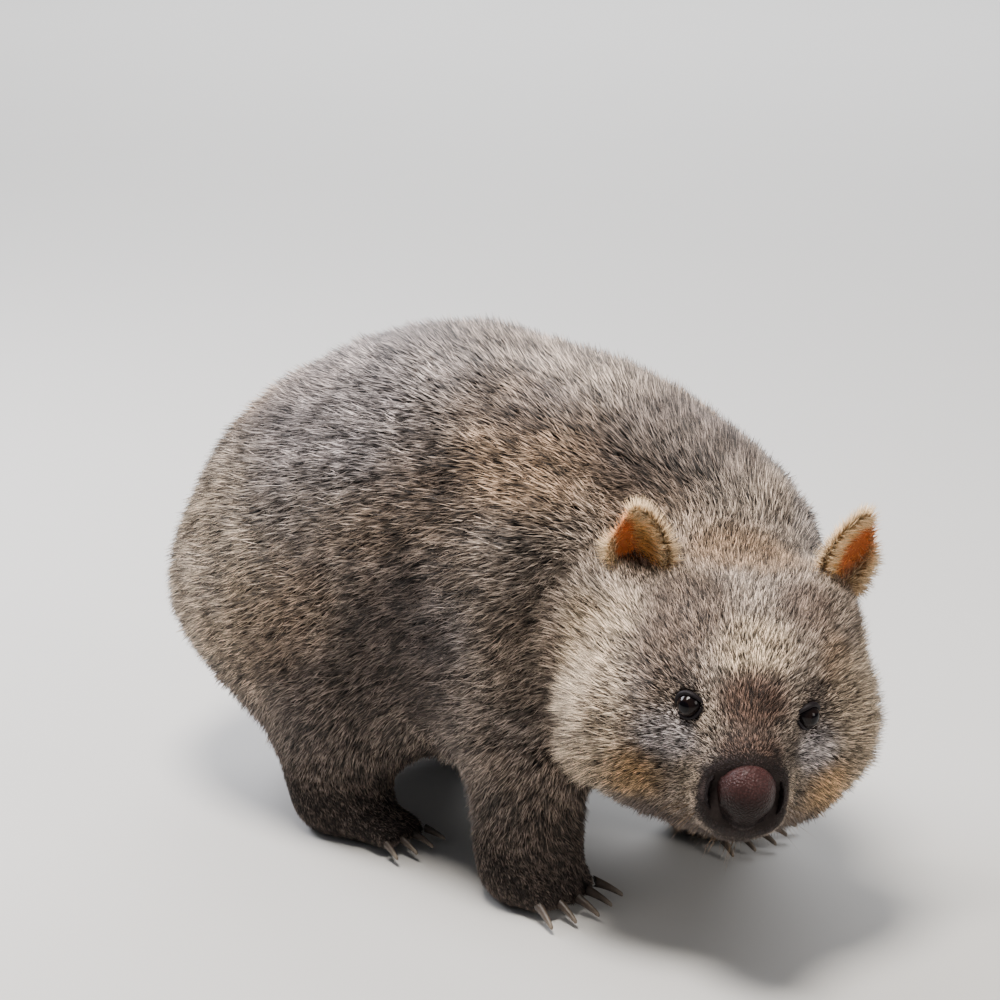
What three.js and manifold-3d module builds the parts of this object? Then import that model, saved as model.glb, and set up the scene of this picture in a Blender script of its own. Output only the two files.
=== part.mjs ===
// Life-size model of a bare-nosed wombat, on all fours with its head low and turned to its right.
// Millimetres. +Z is up, +X runs from the rump to the shoulders and +Y is the animal's left.
// The outline over the fur is a smooth surface that flows round the animal's main masses.
// Each sub-part is that surface, traced outwards from the part's own axis, and parted from its
// neighbours by thin cuts.

import * as THREE from "three";
import { mergeVertices } from "three/addons/utils/BufferGeometryUtils.js";
import Module from "manifold-3d";

const wasm = await Module();
wasm.setup();

// Driving dimensions, over the fur.
const backHeight = 392;
const trunkLength = 563;
const trunkWidth = 292;
const headWidth = 224;
const headHeight = 168;
const cheekLean = -6;
const eyeSpacing = 78;
const eyeRadius = 9;
const noseWidth = 62;
const noseHeight = 50;
const nostrilWidth = 6;
const jawWidth = 76;
const earHeight = 60;
const earWidth = 42;
const stanceHalf = 94;
const pawLength = 74;
const hindFootLength = 98;
const foreClawLength = 21;
const hindClawLength = 18;
const tailLength = 26;

// Pose: where the head is, which way it faces, and how far each foot stands forward.
const headAt = [275, -51, 173.5];
const headTurn = THREE.MathUtils.degToRad(-44);
const headNod = THREE.MathUtils.degToRad(5);
const headRoll = THREE.MathUtils.degToRad(-7.4);
const foreFootX = { right: 136, left: 152 };
const hindFootX = { right: -42, left: -104 };

// Each ear turns on its own: the ear on the outer side of the neck's bend is turned further out.
const earAt = { right: [-32, -72, 86], left: [-34, 71, 97] };
const earTurn = { right: 0.35, left: 0.5 };

// How softly the back of the head flows into the neck.
const napeSoftness = 14;

// Clearance between two sub-parts that touch.
const seam = 0.3;

const SIDES = { right: -1, left: 1 };

// Two distances flow into one where they are within `soft` millimetres of each other.
function flow(a, b, soft) {
  const near = Math.max(soft - Math.abs(a - b), 0) / soft;
  return Math.min(a, b) - (near * near * soft) / 4;
}

// An egg-shaped mass: its middle, its half sizes, and its turn about Z.
function egg(at, half, turn = 0) {
  const cos = Math.cos(turn);
  const sin = Math.sin(turn);
  return (x, y, z) => {
    const dx = x - at[0];
    const dy = y - at[1];
    const u = (cos * dx + sin * dy) / half[0];
    const v = (cos * dy - sin * dx) / half[1];
    const w = (z - at[2]) / half[2];
    const near = Math.sqrt(u * u + v * v + w * w);
    const slope = Math.sqrt((u / half[0]) ** 2 + (v / half[1]) ** 2 + (w / half[2]) ** 2);
    return slope < 1e-9 ? -Math.min(...half) : (near * (near - 1)) / slope;
  };
}

// A mass that tapers from a ball round a to a ball round b.
function taper(a, b, ra, rb) {
  const run = [b[0] - a[0], b[1] - a[1], b[2] - a[2]];
  const square = run[0] ** 2 + run[1] ** 2 + run[2] ** 2;
  return (x, y, z) => {
    const dx = x - a[0];
    const dy = y - a[1];
    const dz = z - a[2];
    const along = (dx * run[0] + dy * run[1] + dz * run[2]) / square;
    const t = Math.min(Math.max(along, 0), 1);
    const gap = Math.sqrt((dx - t * run[0]) ** 2 + (dy - t * run[1]) ** 2 + (dz - t * run[2]) ** 2);
    return gap - ra - t * (rb - ra);
  };
}

// Masses that flow into each other, each given with how softly it does.
function flesh(...masses) {
  return (x, y, z) => {
    let gap = 1e4;
    for (const [mass, soft] of masses) gap = flow(gap, mass(x, y, z), soft);
    return gap;
  };
}

// A field given in a turned frame, read in the model's frame.
function placed(field, matrix) {
  const m = matrix.clone().invert().elements;
  return (x, y, z) =>
    field(
      m[0] * x + m[4] * y + m[8] * z + m[12],
      m[1] * x + m[5] * y + m[9] * z + m[13],
      m[2] * x + m[6] * y + m[10] * z + m[14],
    );
}

// A three.js geometry as a solid.
function solid(geometry) {
  const bare = geometry.clone();
  bare.deleteAttribute("normal");
  bare.deleteAttribute("uv");
  const merged = mergeVertices(bare, 1e-3);
  const corners = merged.index.array;
  const kept = [];
  for (let i = 0; i < corners.length; i += 3) {
    const [a, b, c] = corners.slice(i, i + 3);
    if (a !== b && b !== c && a !== c) kept.push(a, b, c);
  }
  return new wasm.Manifold(
    new wasm.Mesh({
      numProp: 3,
      vertProperties: new Float32Array(merged.attributes.position.array),
      triVerts: new Uint32Array(kept),
    }),
  );
}

// The largest closed surface of a solid, as a geometry.
function geometryOf(manifold) {
  const largest = manifold.decompose().reduce((a, b) => (b.volume() > a.volume() ? b : a));
  const mesh = largest.getMesh();
  const points = new Float32Array(mesh.numVert * 3);
  for (let i = 0; i < mesh.numVert; i++) {
    points.set(mesh.vertProperties.subarray(i * mesh.numProp, i * mesh.numProp + 3), i * 3);
  }
  return new THREE.BufferGeometry()
    .setAttribute("position", new THREE.BufferAttribute(points, 3))
    .setIndex(new THREE.BufferAttribute(mesh.triVerts, 1));
}

// How far a ray from `from` runs before it leaves the field's skin, at most `reach`.
function runToSkin(field, from, way, reach, level) {
  const gapAt = (t) => field(from.x + way.x * t, from.y + way.y * t, from.z + way.z * t) - level;
  let inside = 0;
  let outside = 0;
  while (outside < reach) {
    const gap = gapAt(outside);
    if (gap > 0) break;
    inside = outside;
    outside += Math.max(-gap * 0.5, 0.6);
  }
  if (outside >= reach) return reach;
  for (let i = 0; i < 16; i++) {
    const middle = (inside + outside) / 2;
    if (gapAt(middle) > 0) outside = middle;
    else inside = middle;
  }
  return (inside + outside) / 2;
}

// Traces a field's skin round the axis from `from` to `to`, no further out than `reach`.
// `round` faces go round the axis, `along` lie along it and `caps` close each end.
// `crowd` above 1 draws the rings together towards the far end.
function traced(field, { from, to, reach, round, along = 1, caps, crowd = 1, level = 0 }) {
  const a = new THREE.Vector3(...from);
  const b = new THREE.Vector3(...to);
  const axis = b.clone().sub(a);
  const length = axis.length();
  const short = length < 1;
  const geometry = short
    ? new THREE.SphereGeometry(1, round, caps * 2)
    : new THREE.CapsuleGeometry(1, length, caps, round, along);
  const turn = new THREE.Quaternion().setFromUnitVectors(
    new THREE.Vector3(0, 1, 0),
    short ? new THREE.Vector3(1, 0, 0) : axis.clone().normalize(),
  );
  const middle = a.clone().add(b).multiplyScalar(0.5);
  const points = geometry.attributes.position;
  const vertex = new THREE.Vector3();
  const origin = new THREE.Vector3();
  for (let i = 0; i < points.count; i++) {
    vertex.fromBufferAttribute(points, i);
    const half = short ? 0 : length / 2;
    origin.set(0, Math.min(Math.max(vertex.y, -half), half), 0);
    vertex.sub(origin).normalize();
    if (short && crowd !== 1) crowdRings(vertex, crowd);
    vertex.applyQuaternion(turn);
    origin.applyQuaternion(turn).add(middle);
    const run = runToSkin(field, origin, vertex, reach, level);
    points.setXYZ(i, origin.x + vertex.x * run, origin.y + vertex.y * run, origin.z + vertex.z * run);
  }
  return solid(geometry);
}

// Draws a direction on the unit ball towards the +Y pole.
function crowdRings(way, crowd) {
  const angle = Math.acos(Math.min(Math.max(way.y, -1), 1));
  const drawn = Math.PI * (angle / Math.PI) ** crowd;
  const flat = Math.hypot(way.x, way.z);
  if (flat < 1e-9) return;
  way.x *= Math.sin(drawn) / flat;
  way.z *= Math.sin(drawn) / flat;
  way.y = Math.cos(drawn);
}

// Everything on the side of a plane that its normal points to, less half a seam.
function beyond(at, normal, gap = seam / 2) {
  const size = 1600;
  const way = new THREE.Vector3(...normal).normalize();
  const box = new THREE.BoxGeometry(size, size, size);
  box.applyQuaternion(new THREE.Quaternion().setFromUnitVectors(new THREE.Vector3(0, 0, 1), way));
  const middle = new THREE.Vector3(...at).addScaledVector(way, size / 2 + gap);
  return solid(box.translate(middle.x, middle.y, middle.z));
}

// Head: masses in the head's own frame, +X to the nose and +Y to its left.
const headFrame = new THREE.Matrix4()
  .makeTranslation(...headAt)
  .multiply(
    new THREE.Matrix4().makeRotationFromEuler(new THREE.Euler(headRoll, headNod, headTurn, "ZYX")),
  );
const inHead = (x, y, z) => new THREE.Vector3(x, y, z).applyMatrix4(headFrame).toArray();
const cheekY = 0.235 * headWidth;

// Corners of the head under the ears, fuller on the outer side of the neck's bend.
const temples = [
  egg([-38, -72, 54], [32, 26, 28]),
  egg([-30, 54, 66], [34, 30, 32]),
];

function pair(mass) {
  return [mass(-1), mass(1)];
}

const headMasses = [
  [egg([-26, 0.5 * cheekLean, 18], [98, 0.415 * headWidth, 0.49 * headHeight]), 1],
  ...pair((s) => [egg([-10, s * cheekY + cheekLean, -16], [66, 0.265 * headWidth, 66]), 34]),
  [taper([18, 0, 20], [80, 0, -2], 52, 27), 30],
  [taper([42, 0, -18], [84, 0, -26], 46, 29), 24],
  ...pair((s) => [egg([87, s * 15, -36], [22, 18, 16]), 10]),
  [egg([8, 0, -46], [70, 62, 38]), 26],
  ...pair((s) => [egg([46, s * 34, 38], [22, 14, 8]), 12]),
  ...temples.map((temple) => [temple, 26]),
];
const chinMass = [egg([72, 0, -50], [29, 23, 14]), 6];
const headAlone = flesh(...headMasses, chinMass);

// Each eyeball lies on a line that leaves the head through the eye, most of it under the skin.
const eyeLook = [0.77, 0.64, 0.06];
function eyeAt(s) {
  const look = new THREE.Vector3(eyeLook[0], s * eyeLook[1], eyeLook[2]).normalize();
  const from = new THREE.Vector3(24, s * (eyeSpacing / 2 - 32), 23);
  const run = runToSkin(headAlone, from, look, 90, 0) - 0.55 * eyeRadius;
  return { look, at: from.addScaledVector(look, run) };
}

// Trunk, neck and legs, in the model's frame.
const neckEnd = inHead(-36, 6, 2);
const neckMass = taper([190, 22, 0.56 * backHeight], neckEnd, 88, 78);
const shoulderMass = egg([0.3 * trunkLength, 30, 0.54 * backHeight], [98, 98, 120]);
const nape = flesh([neckMass, 1], [shoulderMass, 40]);

const trunkMasses = [
  [egg([-0.225 * trunkLength, 0, 0.5 * backHeight], [139, 0.48 * trunkWidth, 138]), 1],
  [egg([-0.255 * trunkLength, 0, 0.4 * backHeight], [143, 0.48 * trunkWidth, 92]), 40],
  [egg([-0.02 * trunkLength, 0, 0.6 * backHeight], [172, 0.5 * trunkWidth, 155]), 60],
  [egg([0, 0, 0.41 * backHeight], [186, 0.47 * trunkWidth, 103]), 40],
  [egg([0.17 * trunkLength, 5, 0.58 * backHeight], [130, 0.47 * trunkWidth, 148]), 40],
  [shoulderMass, 40],
];

// A leg's own frame has its foot's middle at the origin, on the floor.
function foreLegMasses(side) {
  const y = SIDES[side] * stanceHalf;
  const x = foreFootX[side];
  const at = (dx, dy, z) => [x + dx, y - SIDES[side] * dy, z];
  return [
    [egg(at(-8, 4, 0.5 * backHeight), [78, 50, 108]), 34],
    [taper(at(-10, 2, 122), at(-8, 0, 40), 54, 40), 30],
  ];
}

function hindLegMasses(side) {
  const y = SIDES[side] * stanceHalf;
  const x = hindFootX[side];
  const at = (dx, dy, z) => [x + dx, y - SIDES[side] * dy, z];
  return [
    [egg(at(-46, 4, 0.4 * backHeight), [98, 54, 110]), 34],
    [taper(at(-8, 2, 108), at(-28, 0, 38), 54, 37), 30],
  ];
}

// Toes fan out from a paw's front; each is a short mass with a pad under it.
const toeHeight = 14;
const pawKinds = {
  fore: {
    half: pawLength / 2,
    palm: [34, 31, 23],
    palmBack: 4,
    toes: 5,
    fan: 0.42,
    reach: 26,
    spread: 60,
    toe: [16, 8.6, 11.5],
    clawLength: foreClawLength,
    clawRadius: 5.2,
  },
  hind: {
    half: hindFootLength / 2,
    palm: [50, 27, 22],
    palmBack: 8,
    toes: 4,
    fan: 0.3,
    reach: 38,
    spread: 56,
    toe: [16, 8.4, 11],
    clawLength: hindClawLength,
    clawRadius: 4.6,
  },
};

function pawAt(kind, side) {
  const x = kind === "fore" ? foreFootX[side] : hindFootX[side];
  return [x, SIDES[side] * stanceHalf, 0];
}

function toeWays(kind) {
  const { toes, fan } = pawKinds[kind];
  return Array.from({ length: toes }, (_, i) => (i - (toes - 1) / 2) * ((2 * fan) / (toes - 1)));
}

// The outer toes start further back and further out than the middle ones.
function toeRoot(kind, side, way) {
  const { reach, toes, spread } = pawKinds[kind];
  const [x, y] = pawAt(kind, side);
  const back = 4.5 * Math.abs(way) * (toes - 1);
  return [x + reach - back, y + spread * way, toeHeight];
}

function pawMasses(kind, side) {
  const { palm, palmBack, toe } = pawKinds[kind];
  const [x, y] = pawAt(kind, side);
  return [
    [egg([x - palmBack, y, 18], palm), 18],
    ...toeWays(kind).map((way) => [egg(toeRoot(kind, side, way), toe, way), 4]),
  ];
}

const legMasses = Object.keys(SIDES).flatMap((side) => [
  ...foreLegMasses(side),
  ...hindLegMasses(side),
  ...pawMasses("fore", side),
  ...pawMasses("hind", side),
]);
const bodyField = flesh(...trunkMasses, [neckMass, 40], ...legMasses);
const headField = placed(headAlone, headFrame);

// Cuts.
const floor = beyond([0, 0, 0], [0, 0, -1], 0);
const headCut = { at: inHead(-58, 0, 10), normal: [0.74, -0.64, -0.2] };
const neckCut = { at: [176, 0, 235], normal: [0.94, -0.12, -0.3] };

const parts = {};

// Head, traced from its middle, with rings crowded towards the muzzle.
function headSolid(level) {
  return traced(headAndNapeLocal, {
    from: [0, 0, 0],
    to: [0, 0, 0],
    reach: 240,
    round: 38,
    caps: 15,
    crowd: 1.2,
    level,
  }).transform(headFrame.elements);
}

function headAndNapeLocal(x, y, z) {
  const [wx, wy, wz] = inHead(x, y, z);
  return flow(headAlone(x, y, z), nape(wx, wy, wz), napeSoftness);
}

function behindHead(gap) {
  return beyond(headCut.at, headCut.normal.map((v) => -v), gap);
}

let headBall = headSolid(0).subtract(behindHead(-seam / 2));
for (const s of [-1, 1]) headBall = headBall.subtract(socket(s));
const headClearance = headSolid(seam).subtract(behindHead(seam / 2));

// A shallow socket lets each eyeball sit as deep as it does in life.
function socket(s) {
  const { at, look } = eyeAt(s);
  const bowl = new THREE.SphereGeometry(1, 14, 8).scale(7, 13, 11.5);
  bowl.rotateZ(Math.atan2(look.y, look.x));
  bowl.translate(at.x + 5 * look.x, at.y + 5 * look.y, at.z).applyMatrix4(headFrame);
  return solid(bowl);
}

// The lower jaw is the part of the head below the line of the mouth, which starts under the
// nose, dips along the lip and rises a little at its corner.
function jawWedge(grow) {
  const mouth = new THREE.SplineCurve([
    new THREE.Vector2(140, -46),
    new THREE.Vector2(108, -47),
    new THREE.Vector2(84, -52),
    new THREE.Vector2(62, -51),
    new THREE.Vector2(46, -46),
  ]);
  const lip = mouth.getPoints(12).map(({ x, y }) => new THREE.Vector2(x, y + grow));
  const throat = [
    new THREE.Vector2(38 - grow, -62),
    new THREE.Vector2(20 - grow, -140),
    new THREE.Vector2(140, -140),
  ];
  const width = jawWidth + 2 * grow;
  const outline = new THREE.Shape([...lip, ...throat]);
  const wedge = new THREE.ExtrudeGeometry(outline, { depth: width, bevelEnabled: false });
  wedge.translate(0, 0, -width / 2).rotateX(Math.PI / 2);
  return solid(wedge.applyMatrix4(headFrame));
}
parts.jaw = headBall.intersect(jawWedge(-seam / 2));

function ball(at, radius, round = 14, rings = 9) {
  return solid(new THREE.SphereGeometry(radius, round, rings).translate(...at));
}

// Lids: a thick almond ring on the front of each eyeball.
function lidRing(s) {
  const { at, look } = eyeAt(s);
  const forward = 0.4 * eyeRadius;
  const ring = new THREE.TorusGeometry(eyeRadius, 0.29 * eyeRadius, 6, 18).scale(1.15, 0.92, 1);
  ring.applyMatrix4(new THREE.Matrix4().lookAt(look, new THREE.Vector3(), new THREE.Vector3(0, 0, 1)));
  ring.translate(at.x + forward * look.x, at.y + forward * look.y, at.z + forward * look.z);
  return solid(ring.applyMatrix4(headFrame));
}

let head = headBall.subtract(jawWedge(seam / 2));
for (const [side, s] of Object.entries(SIDES)) {
  const at = inHead(...eyeAt(s).at.toArray());
  head = head.add(lidRing(s)).subtract(ball(at, eyeRadius + seam));
  parts["eye_" + side] = ball(at, eyeRadius);
}

// Nose: a bare bulb on a broad pad, with a nostril curved round each side of the bulb.
const bulbAt = [102, 0, -15];
const bulb = [18, 0.3 * noseWidth, 0.42 * noseHeight];
const noseField = placed(
  flesh(
    [egg(bulbAt, bulb), 1],
    [egg([95, 0, -19], [16, 0.47 * noseWidth, 0.5 * noseHeight]), 5],
    ...pair((s) => [egg([98, s * 0.32 * noseWidth, -21], [15, 0.18 * noseWidth, 0.36 * noseHeight]), 6]),
  ),
  headFrame,
);
let nose = traced(noseField, {
  from: inHead(90, 0, -17),
  to: inHead(90, 0, -17),
  reach: 60,
  round: 36,
  caps: 12,
});

// A nostril is a row of beads, widest level with the bulb's middle, sunk in the pad.
const nostrilAt = 113.5;
function nostril(s) {
  const beads = 7;
  const top = 0.45;
  const bottom = -0.5;
  let slit = null;
  for (let i = 0; i < beads; i++) {
    const t = i / (beads - 1);
    const turn = top + t * (bottom - top);
    const radius = (nostrilWidth / 2) * (0.62 + 0.38 * Math.sin(Math.PI * t));
    const bead = new THREE.SphereGeometry(radius, 8, 6).scale(1.7, 1, 1.5);
    const across = s * Math.cos(turn) * (bulb[1] + 0.35 * nostrilWidth);
    bead.translate(nostrilAt, across, bulbAt[2] + Math.sin(turn) * (bulb[2] + 0.2 * nostrilWidth));
    const made = solid(bead.applyMatrix4(headFrame));
    slit = slit ? slit.add(made) : made;
  }
  return slit;
}
for (const s of [-1, 1]) nose = nose.subtract(nostril(s));
parts.nose = nose.subtract(headClearance);
parts.head = head;

// Ears: a dished leaf whose outer edge stands upright and whose inner edge slopes.
function ear(side) {
  const s = SIDES[side];
  const leaf = new THREE.SphereGeometry(1, 20, 12);
  const points = leaf.attributes.position;
  const thick = 5;
  const dish = 13;
  for (let i = 0; i < points.count; i++) {
    const out = Math.hypot(points.getX(i), points.getY(i));
    const across = points.getX(i);
    const up = points.getY(i);
    const pinch = 1 - 0.36 * Math.max(up, 0) ** 1.3;
    const y = across * 0.5 * earWidth * pinch + 3 * up;
    const z = up * 0.56 * earHeight + 0.1 * earHeight;
    const x = -dish * (1 - out * out) + thick * 0.5 * points.getZ(i);
    points.setXYZ(i, x, -s * y, z);
  }
  const stand = new THREE.Matrix4().makeRotationFromEuler(
    new THREE.Euler(s * -0.24, 0.1, s * earTurn[side], "ZYX"),
  );
  leaf.applyMatrix4(stand).translate(...earAt[side]).applyMatrix4(headFrame);
  const turned = solid(s > 0 ? flipped(leaf) : leaf);
  return turned.subtract(headClearance).subtract(neckClearance);
}

// A mirrored geometry with its faces turned outwards again.
function flipped(geometry) {
  const index = geometry.index.array;
  for (let i = 0; i < index.length; i += 3) {
    [index[i + 1], index[i + 2]] = [index[i + 2], index[i + 1]];
  }
  return geometry;
}

// Legs: each is cut from the trunk by a slanted box, and across at knee and ankle.
const legKinds = {
  fore: {
    root: 92,
    box: [146, 700, 400],
    boxBack: -8,
    axisBack: -8,
    slant: 0.76,
    knee: 74,
    ankle: 37,
    names: ["upper_foreleg", "forearm", "forepaw"],
  },
  hind: {
    root: 95,
    box: [178, 700, 400],
    boxBack: -46,
    axisBack: -40,
    slant: 0.85,
    knee: 72,
    ankle: 36,
    names: ["thigh", "shank", "hindfoot"],
  },
};
const innerEdge = 24;

function legBox(kind, side, grow) {
  const { root, box, boxBack, slant } = legKinds[kind];
  const s = SIDES[side];
  const [x, y] = pawAt(kind, side);
  const block = new THREE.BoxGeometry(box[0] + 2 * grow, box[1], box[2] + 2 * grow);
  block.translate(0, 0, -box[2] / 2);
  block.rotateX(s * slant);
  block.translate(x + boxBack, 0.48 * y, root);
  return solid(block).intersect(beyond([0, s * innerEdge, 0], [0, s, 0], -grow));
}

function leg(kind, side) {
  const { knee, ankle, axisBack: back, names } = legKinds[kind];
  const [x, y] = pawAt(kind, side);
  const room = legBox(kind, side, -seam / 2);
  const upper = traced(bodyField, {
    from: [x + back, 0.5 * y, 0.42 * backHeight],
    to: [x + back * 0.6, 0.95 * y, knee + 6],
    reach: 150,
    round: 30,
    along: 5,
    caps: 5,
  });
  const lower = traced(bodyField, {
    from: [x - 9, y, knee],
    to: [x + back * 0.5, y, ankle + 4],
    reach: 100,
    round: 20,
    along: 5,
    caps: 4,
  });
  parts[names[0] + "_" + side] = upper
    .intersect(room)
    .intersect(beyond([0, 0, knee], [0, 0, 1]))
    .subtract(headClearance);
  parts[names[1] + "_" + side] = lower
    .intersect(room)
    .subtract(beyond([0, 0, knee], [0, 0, 1], -seam / 2))
    .subtract(beyond([0, 0, ankle], [0, 0, -1], -seam / 2));
  parts[names[2] + "_" + side] = pawSolid(kind, side, 0)
    .subtract(beyond([0, 0, ankle], [0, 0, 1], -seam / 2))
    .subtract(floor);
}

function pawSolid(kind, side, level) {
  const [x, y] = pawAt(kind, side);
  return traced(bodyField, {
    from: [x - 0.22 * pawKinds[kind].half, y, 17],
    to: [x + 0.3 * pawKinds[kind].half, y, 15],
    reach: 80,
    round: 20,
    along: 3,
    caps: 5,
    level,
  });
}

for (const side of Object.keys(SIDES)) for (const kind of Object.keys(legKinds)) leg(kind, side);

// Claws: blunt, bent horns from the tip of each toe down to the floor.
function claw(kind, side, way, name, clearance) {
  const { clawLength, clawRadius, toe } = pawKinds[kind];
  const hidden = 8;
  const horn = new THREE.CylinderGeometry(0.36 * clawRadius, clawRadius, clawLength + hidden, 8, 5);
  const points = horn.attributes.position;
  for (let i = 0; i < points.count; i++) {
    const along = points.getY(i) + (clawLength + hidden) / 2 - hidden;
    const drop = 0.008 * along * along + 0.2 * along;
    points.setXYZ(i, along, -0.8 * points.getX(i), points.getZ(i) - drop);
  }
  const [x, y, z] = toeRoot(kind, side, way);
  const tip = toe[0] - 3;
  horn.rotateZ(way);
  horn.translate(x + tip * Math.cos(way), y + tip * Math.sin(way), z - 1);
  parts[name] = solid(horn).subtract(clearance).subtract(floor);
}

for (const side of Object.keys(SIDES)) {
  for (const kind of Object.keys(pawKinds)) {
    const clearance = pawSolid(kind, side, seam);
    toeWays(kind).forEach((way, index) => {
      claw(kind, side, way, `${kind}claw_${side}_${index + 1}`, clearance);
    });
  }
}

// Trunk, with room for the legs and the head.
function trunkSolid(level) {
  return traced(bodyField, {
    from: [-0.27 * trunkLength, 0, 0.52 * backHeight],
    to: [0.22 * trunkLength, 4, 0.52 * backHeight],
    reach: 215,
    round: 40,
    along: 14,
    caps: 9,
    level,
  });
}

let torso = trunkSolid(0).subtract(beyond(neckCut.at, neckCut.normal, -seam / 2));
for (const side of Object.keys(SIDES)) {
  for (const kind of Object.keys(legKinds)) torso = torso.subtract(legBox(kind, side, seam / 2));
}
parts.torso = torso.subtract(headClearance);

// The neck's skin flows into the head's, and sinks away under it in front of the cut between them.
function neckField(x, y, z) {
  const [px, py, pz] = headCut.at;
  const [nx, ny, nz] = headCut.normal;
  const ahead = (x - px) * nx + (y - py) * ny + (z - pz) * nz;
  const sunk = Math.min(Math.max(0.3 * ahead, 0), 5);
  return flow(bodyField(x, y, z), headField(x, y, z), napeSoftness) + sunk;
}

function neckSolid(level) {
  return traced(neckField, {
    from: [130, 8, 0.54 * backHeight],
    to: neckEnd,
    reach: 190,
    round: 30,
    along: 4,
    caps: 6,
    level,
  });
}

let neck = neckSolid(0).intersect(beyond(neckCut.at, neckCut.normal, seam / 2));
for (const side of Object.keys(SIDES)) neck = neck.subtract(legBox("fore", side, seam / 2));
parts.neck = neck.subtract(headClearance);

const neckClearance = neckSolid(seam);
for (const side of Object.keys(SIDES)) parts["ear_" + side] = ear(side);

// Tail: a stub that the fur of the rump nearly hides.
const tailRoot = [-0.47 * trunkLength, 0, 0.52 * backHeight];
const tailTip = [tailRoot[0] - tailLength, 0, tailRoot[2] - 24];
parts.tail = traced(taper(tailRoot, tailTip, 13, 6), {
  from: tailRoot,
  to: tailTip,
  reach: 30,
  round: 10,
  along: 2,
  caps: 2,
}).subtract(trunkSolid(seam));

// Finishes.
const finishes = {
  coat: new THREE.MeshStandardMaterial({ color: 0x7d6d5f, roughness: 0.92, metalness: 0 }),
  face: new THREE.MeshStandardMaterial({ color: 0x9a8a76, roughness: 0.9, metalness: 0 }),
  ear: new THREE.MeshStandardMaterial({ color: 0xc08a58, roughness: 0.85, metalness: 0 }),
  nose: new THREE.MeshStandardMaterial({ color: 0x4a302a, roughness: 0.35, metalness: 0 }),
  eye: new THREE.MeshStandardMaterial({ color: 0x120d0e, roughness: 0.08, metalness: 0 }),
  claw: new THREE.MeshStandardMaterial({ color: 0x3d332c, roughness: 0.5, metalness: 0 }),
  paw: new THREE.MeshStandardMaterial({ color: 0x4d4038, roughness: 0.9, metalness: 0 }),
};

function finishOf(name) {
  if (name.includes("claw")) return finishes.claw;
  if (name.startsWith("eye")) return finishes.eye;
  if (name.startsWith("ear")) return finishes.ear;
  if (name === "nose") return finishes.nose;
  if (name === "head" || name === "jaw") return finishes.face;
  if (name.includes("paw") || name.includes("foot")) return finishes.paw;
  return finishes.coat;
}

const wombat = new THREE.Group();
for (const [name, made] of Object.entries(parts)) {
  const mesh = new THREE.Mesh(geometryOf(made), finishOf(name));
  mesh.name = name;
  wombat.add(mesh);
}

// The middle of its footprint is the origin.
const footprint = new THREE.Box3().setFromObject(wombat, true).getCenter(new THREE.Vector3());
wombat.position.set(-footprint.x, -footprint.y, 0);

export default wombat;
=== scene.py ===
# Dresses the solid model of a bare-nosed wombat: skin, coat, ears, eyes, nose and claws.
# Metres. +Z is up, +X runs from the rump to the shoulders and +Y is the animal's left.

import math

import bpy
import numpy as np
from mathutils import Euler, Matrix, Vector
from mathutils.kdtree import KDTree


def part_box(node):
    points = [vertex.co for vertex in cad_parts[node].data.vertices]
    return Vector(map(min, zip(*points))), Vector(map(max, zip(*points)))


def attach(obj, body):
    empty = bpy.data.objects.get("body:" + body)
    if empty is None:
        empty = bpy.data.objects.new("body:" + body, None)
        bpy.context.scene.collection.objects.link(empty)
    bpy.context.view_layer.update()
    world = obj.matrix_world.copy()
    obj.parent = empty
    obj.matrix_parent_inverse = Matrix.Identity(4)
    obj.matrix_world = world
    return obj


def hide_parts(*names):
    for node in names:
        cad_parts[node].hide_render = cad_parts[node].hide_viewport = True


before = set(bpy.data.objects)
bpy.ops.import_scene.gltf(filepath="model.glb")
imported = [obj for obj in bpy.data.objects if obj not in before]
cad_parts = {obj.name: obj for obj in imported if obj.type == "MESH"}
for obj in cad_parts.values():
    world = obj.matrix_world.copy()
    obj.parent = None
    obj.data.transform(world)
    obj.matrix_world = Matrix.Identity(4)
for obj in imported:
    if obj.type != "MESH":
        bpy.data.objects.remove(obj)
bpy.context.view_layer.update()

bl_info = {
    "name": "Wombat",
    "version": (1, 0, 0),
    "blender": (4, 5, 0),
    "location": "3D View > Sidebar > Wombat",
    "description": "Dresses the solid model of a standing wombat: skin, coat, eyes, nose and claws",
    "category": "Object",
}

SIDES = {"right": -1, "left": 1}
MM = 0.001

# The head's own frame: +X to the nose, +Y to its left. Its turn is the pose of the solids.
HEAD_TURN = Euler((math.radians(-7.4), math.radians(5), math.radians(-44)), "XYZ")
EYES_IN_HEAD = Vector((63.4, -0.3, 26.1)) * MM

# The ears' places in the head's frame in millimetres, their turns, and the dish of a leaf in metres.
EAR_AT = {"right": (-32, -72, 86), "left": (-34, 71, 97)}
EAR_TURN = {"right": 0.35, "left": 0.5}
EAR_DISH = 0.014

FLESH = ["head", "jaw", "neck", "torso", "tail"] + [
    f"{part}_{side}"
    for side in SIDES
    for part in ("upper_foreleg", "forearm", "forepaw", "thigh", "shank", "hindfoot")
]
TOES = {"fore": 5, "hind": 4}


def middle_of(node):
    low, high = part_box(node)
    return (low + high) / 2


def head_frame():
    turn = HEAD_TURN.to_matrix().to_4x4()
    eyes = (middle_of("eye_right") + middle_of("eye_left")) / 2
    return Matrix.Translation(eyes - turn.to_3x3() @ EYES_IN_HEAD) @ turn


HEAD = head_frame()
HEAD_ROWS = np.array(HEAD.to_3x3())
HEAD_AT = np.array(HEAD.translation)


def in_head(points):
    """Points of the model, read in the head's frame, in millimetres."""
    return (np.asarray(points) - HEAD_AT) @ HEAD_ROWS / MM


# Small helpers for numbers.


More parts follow.
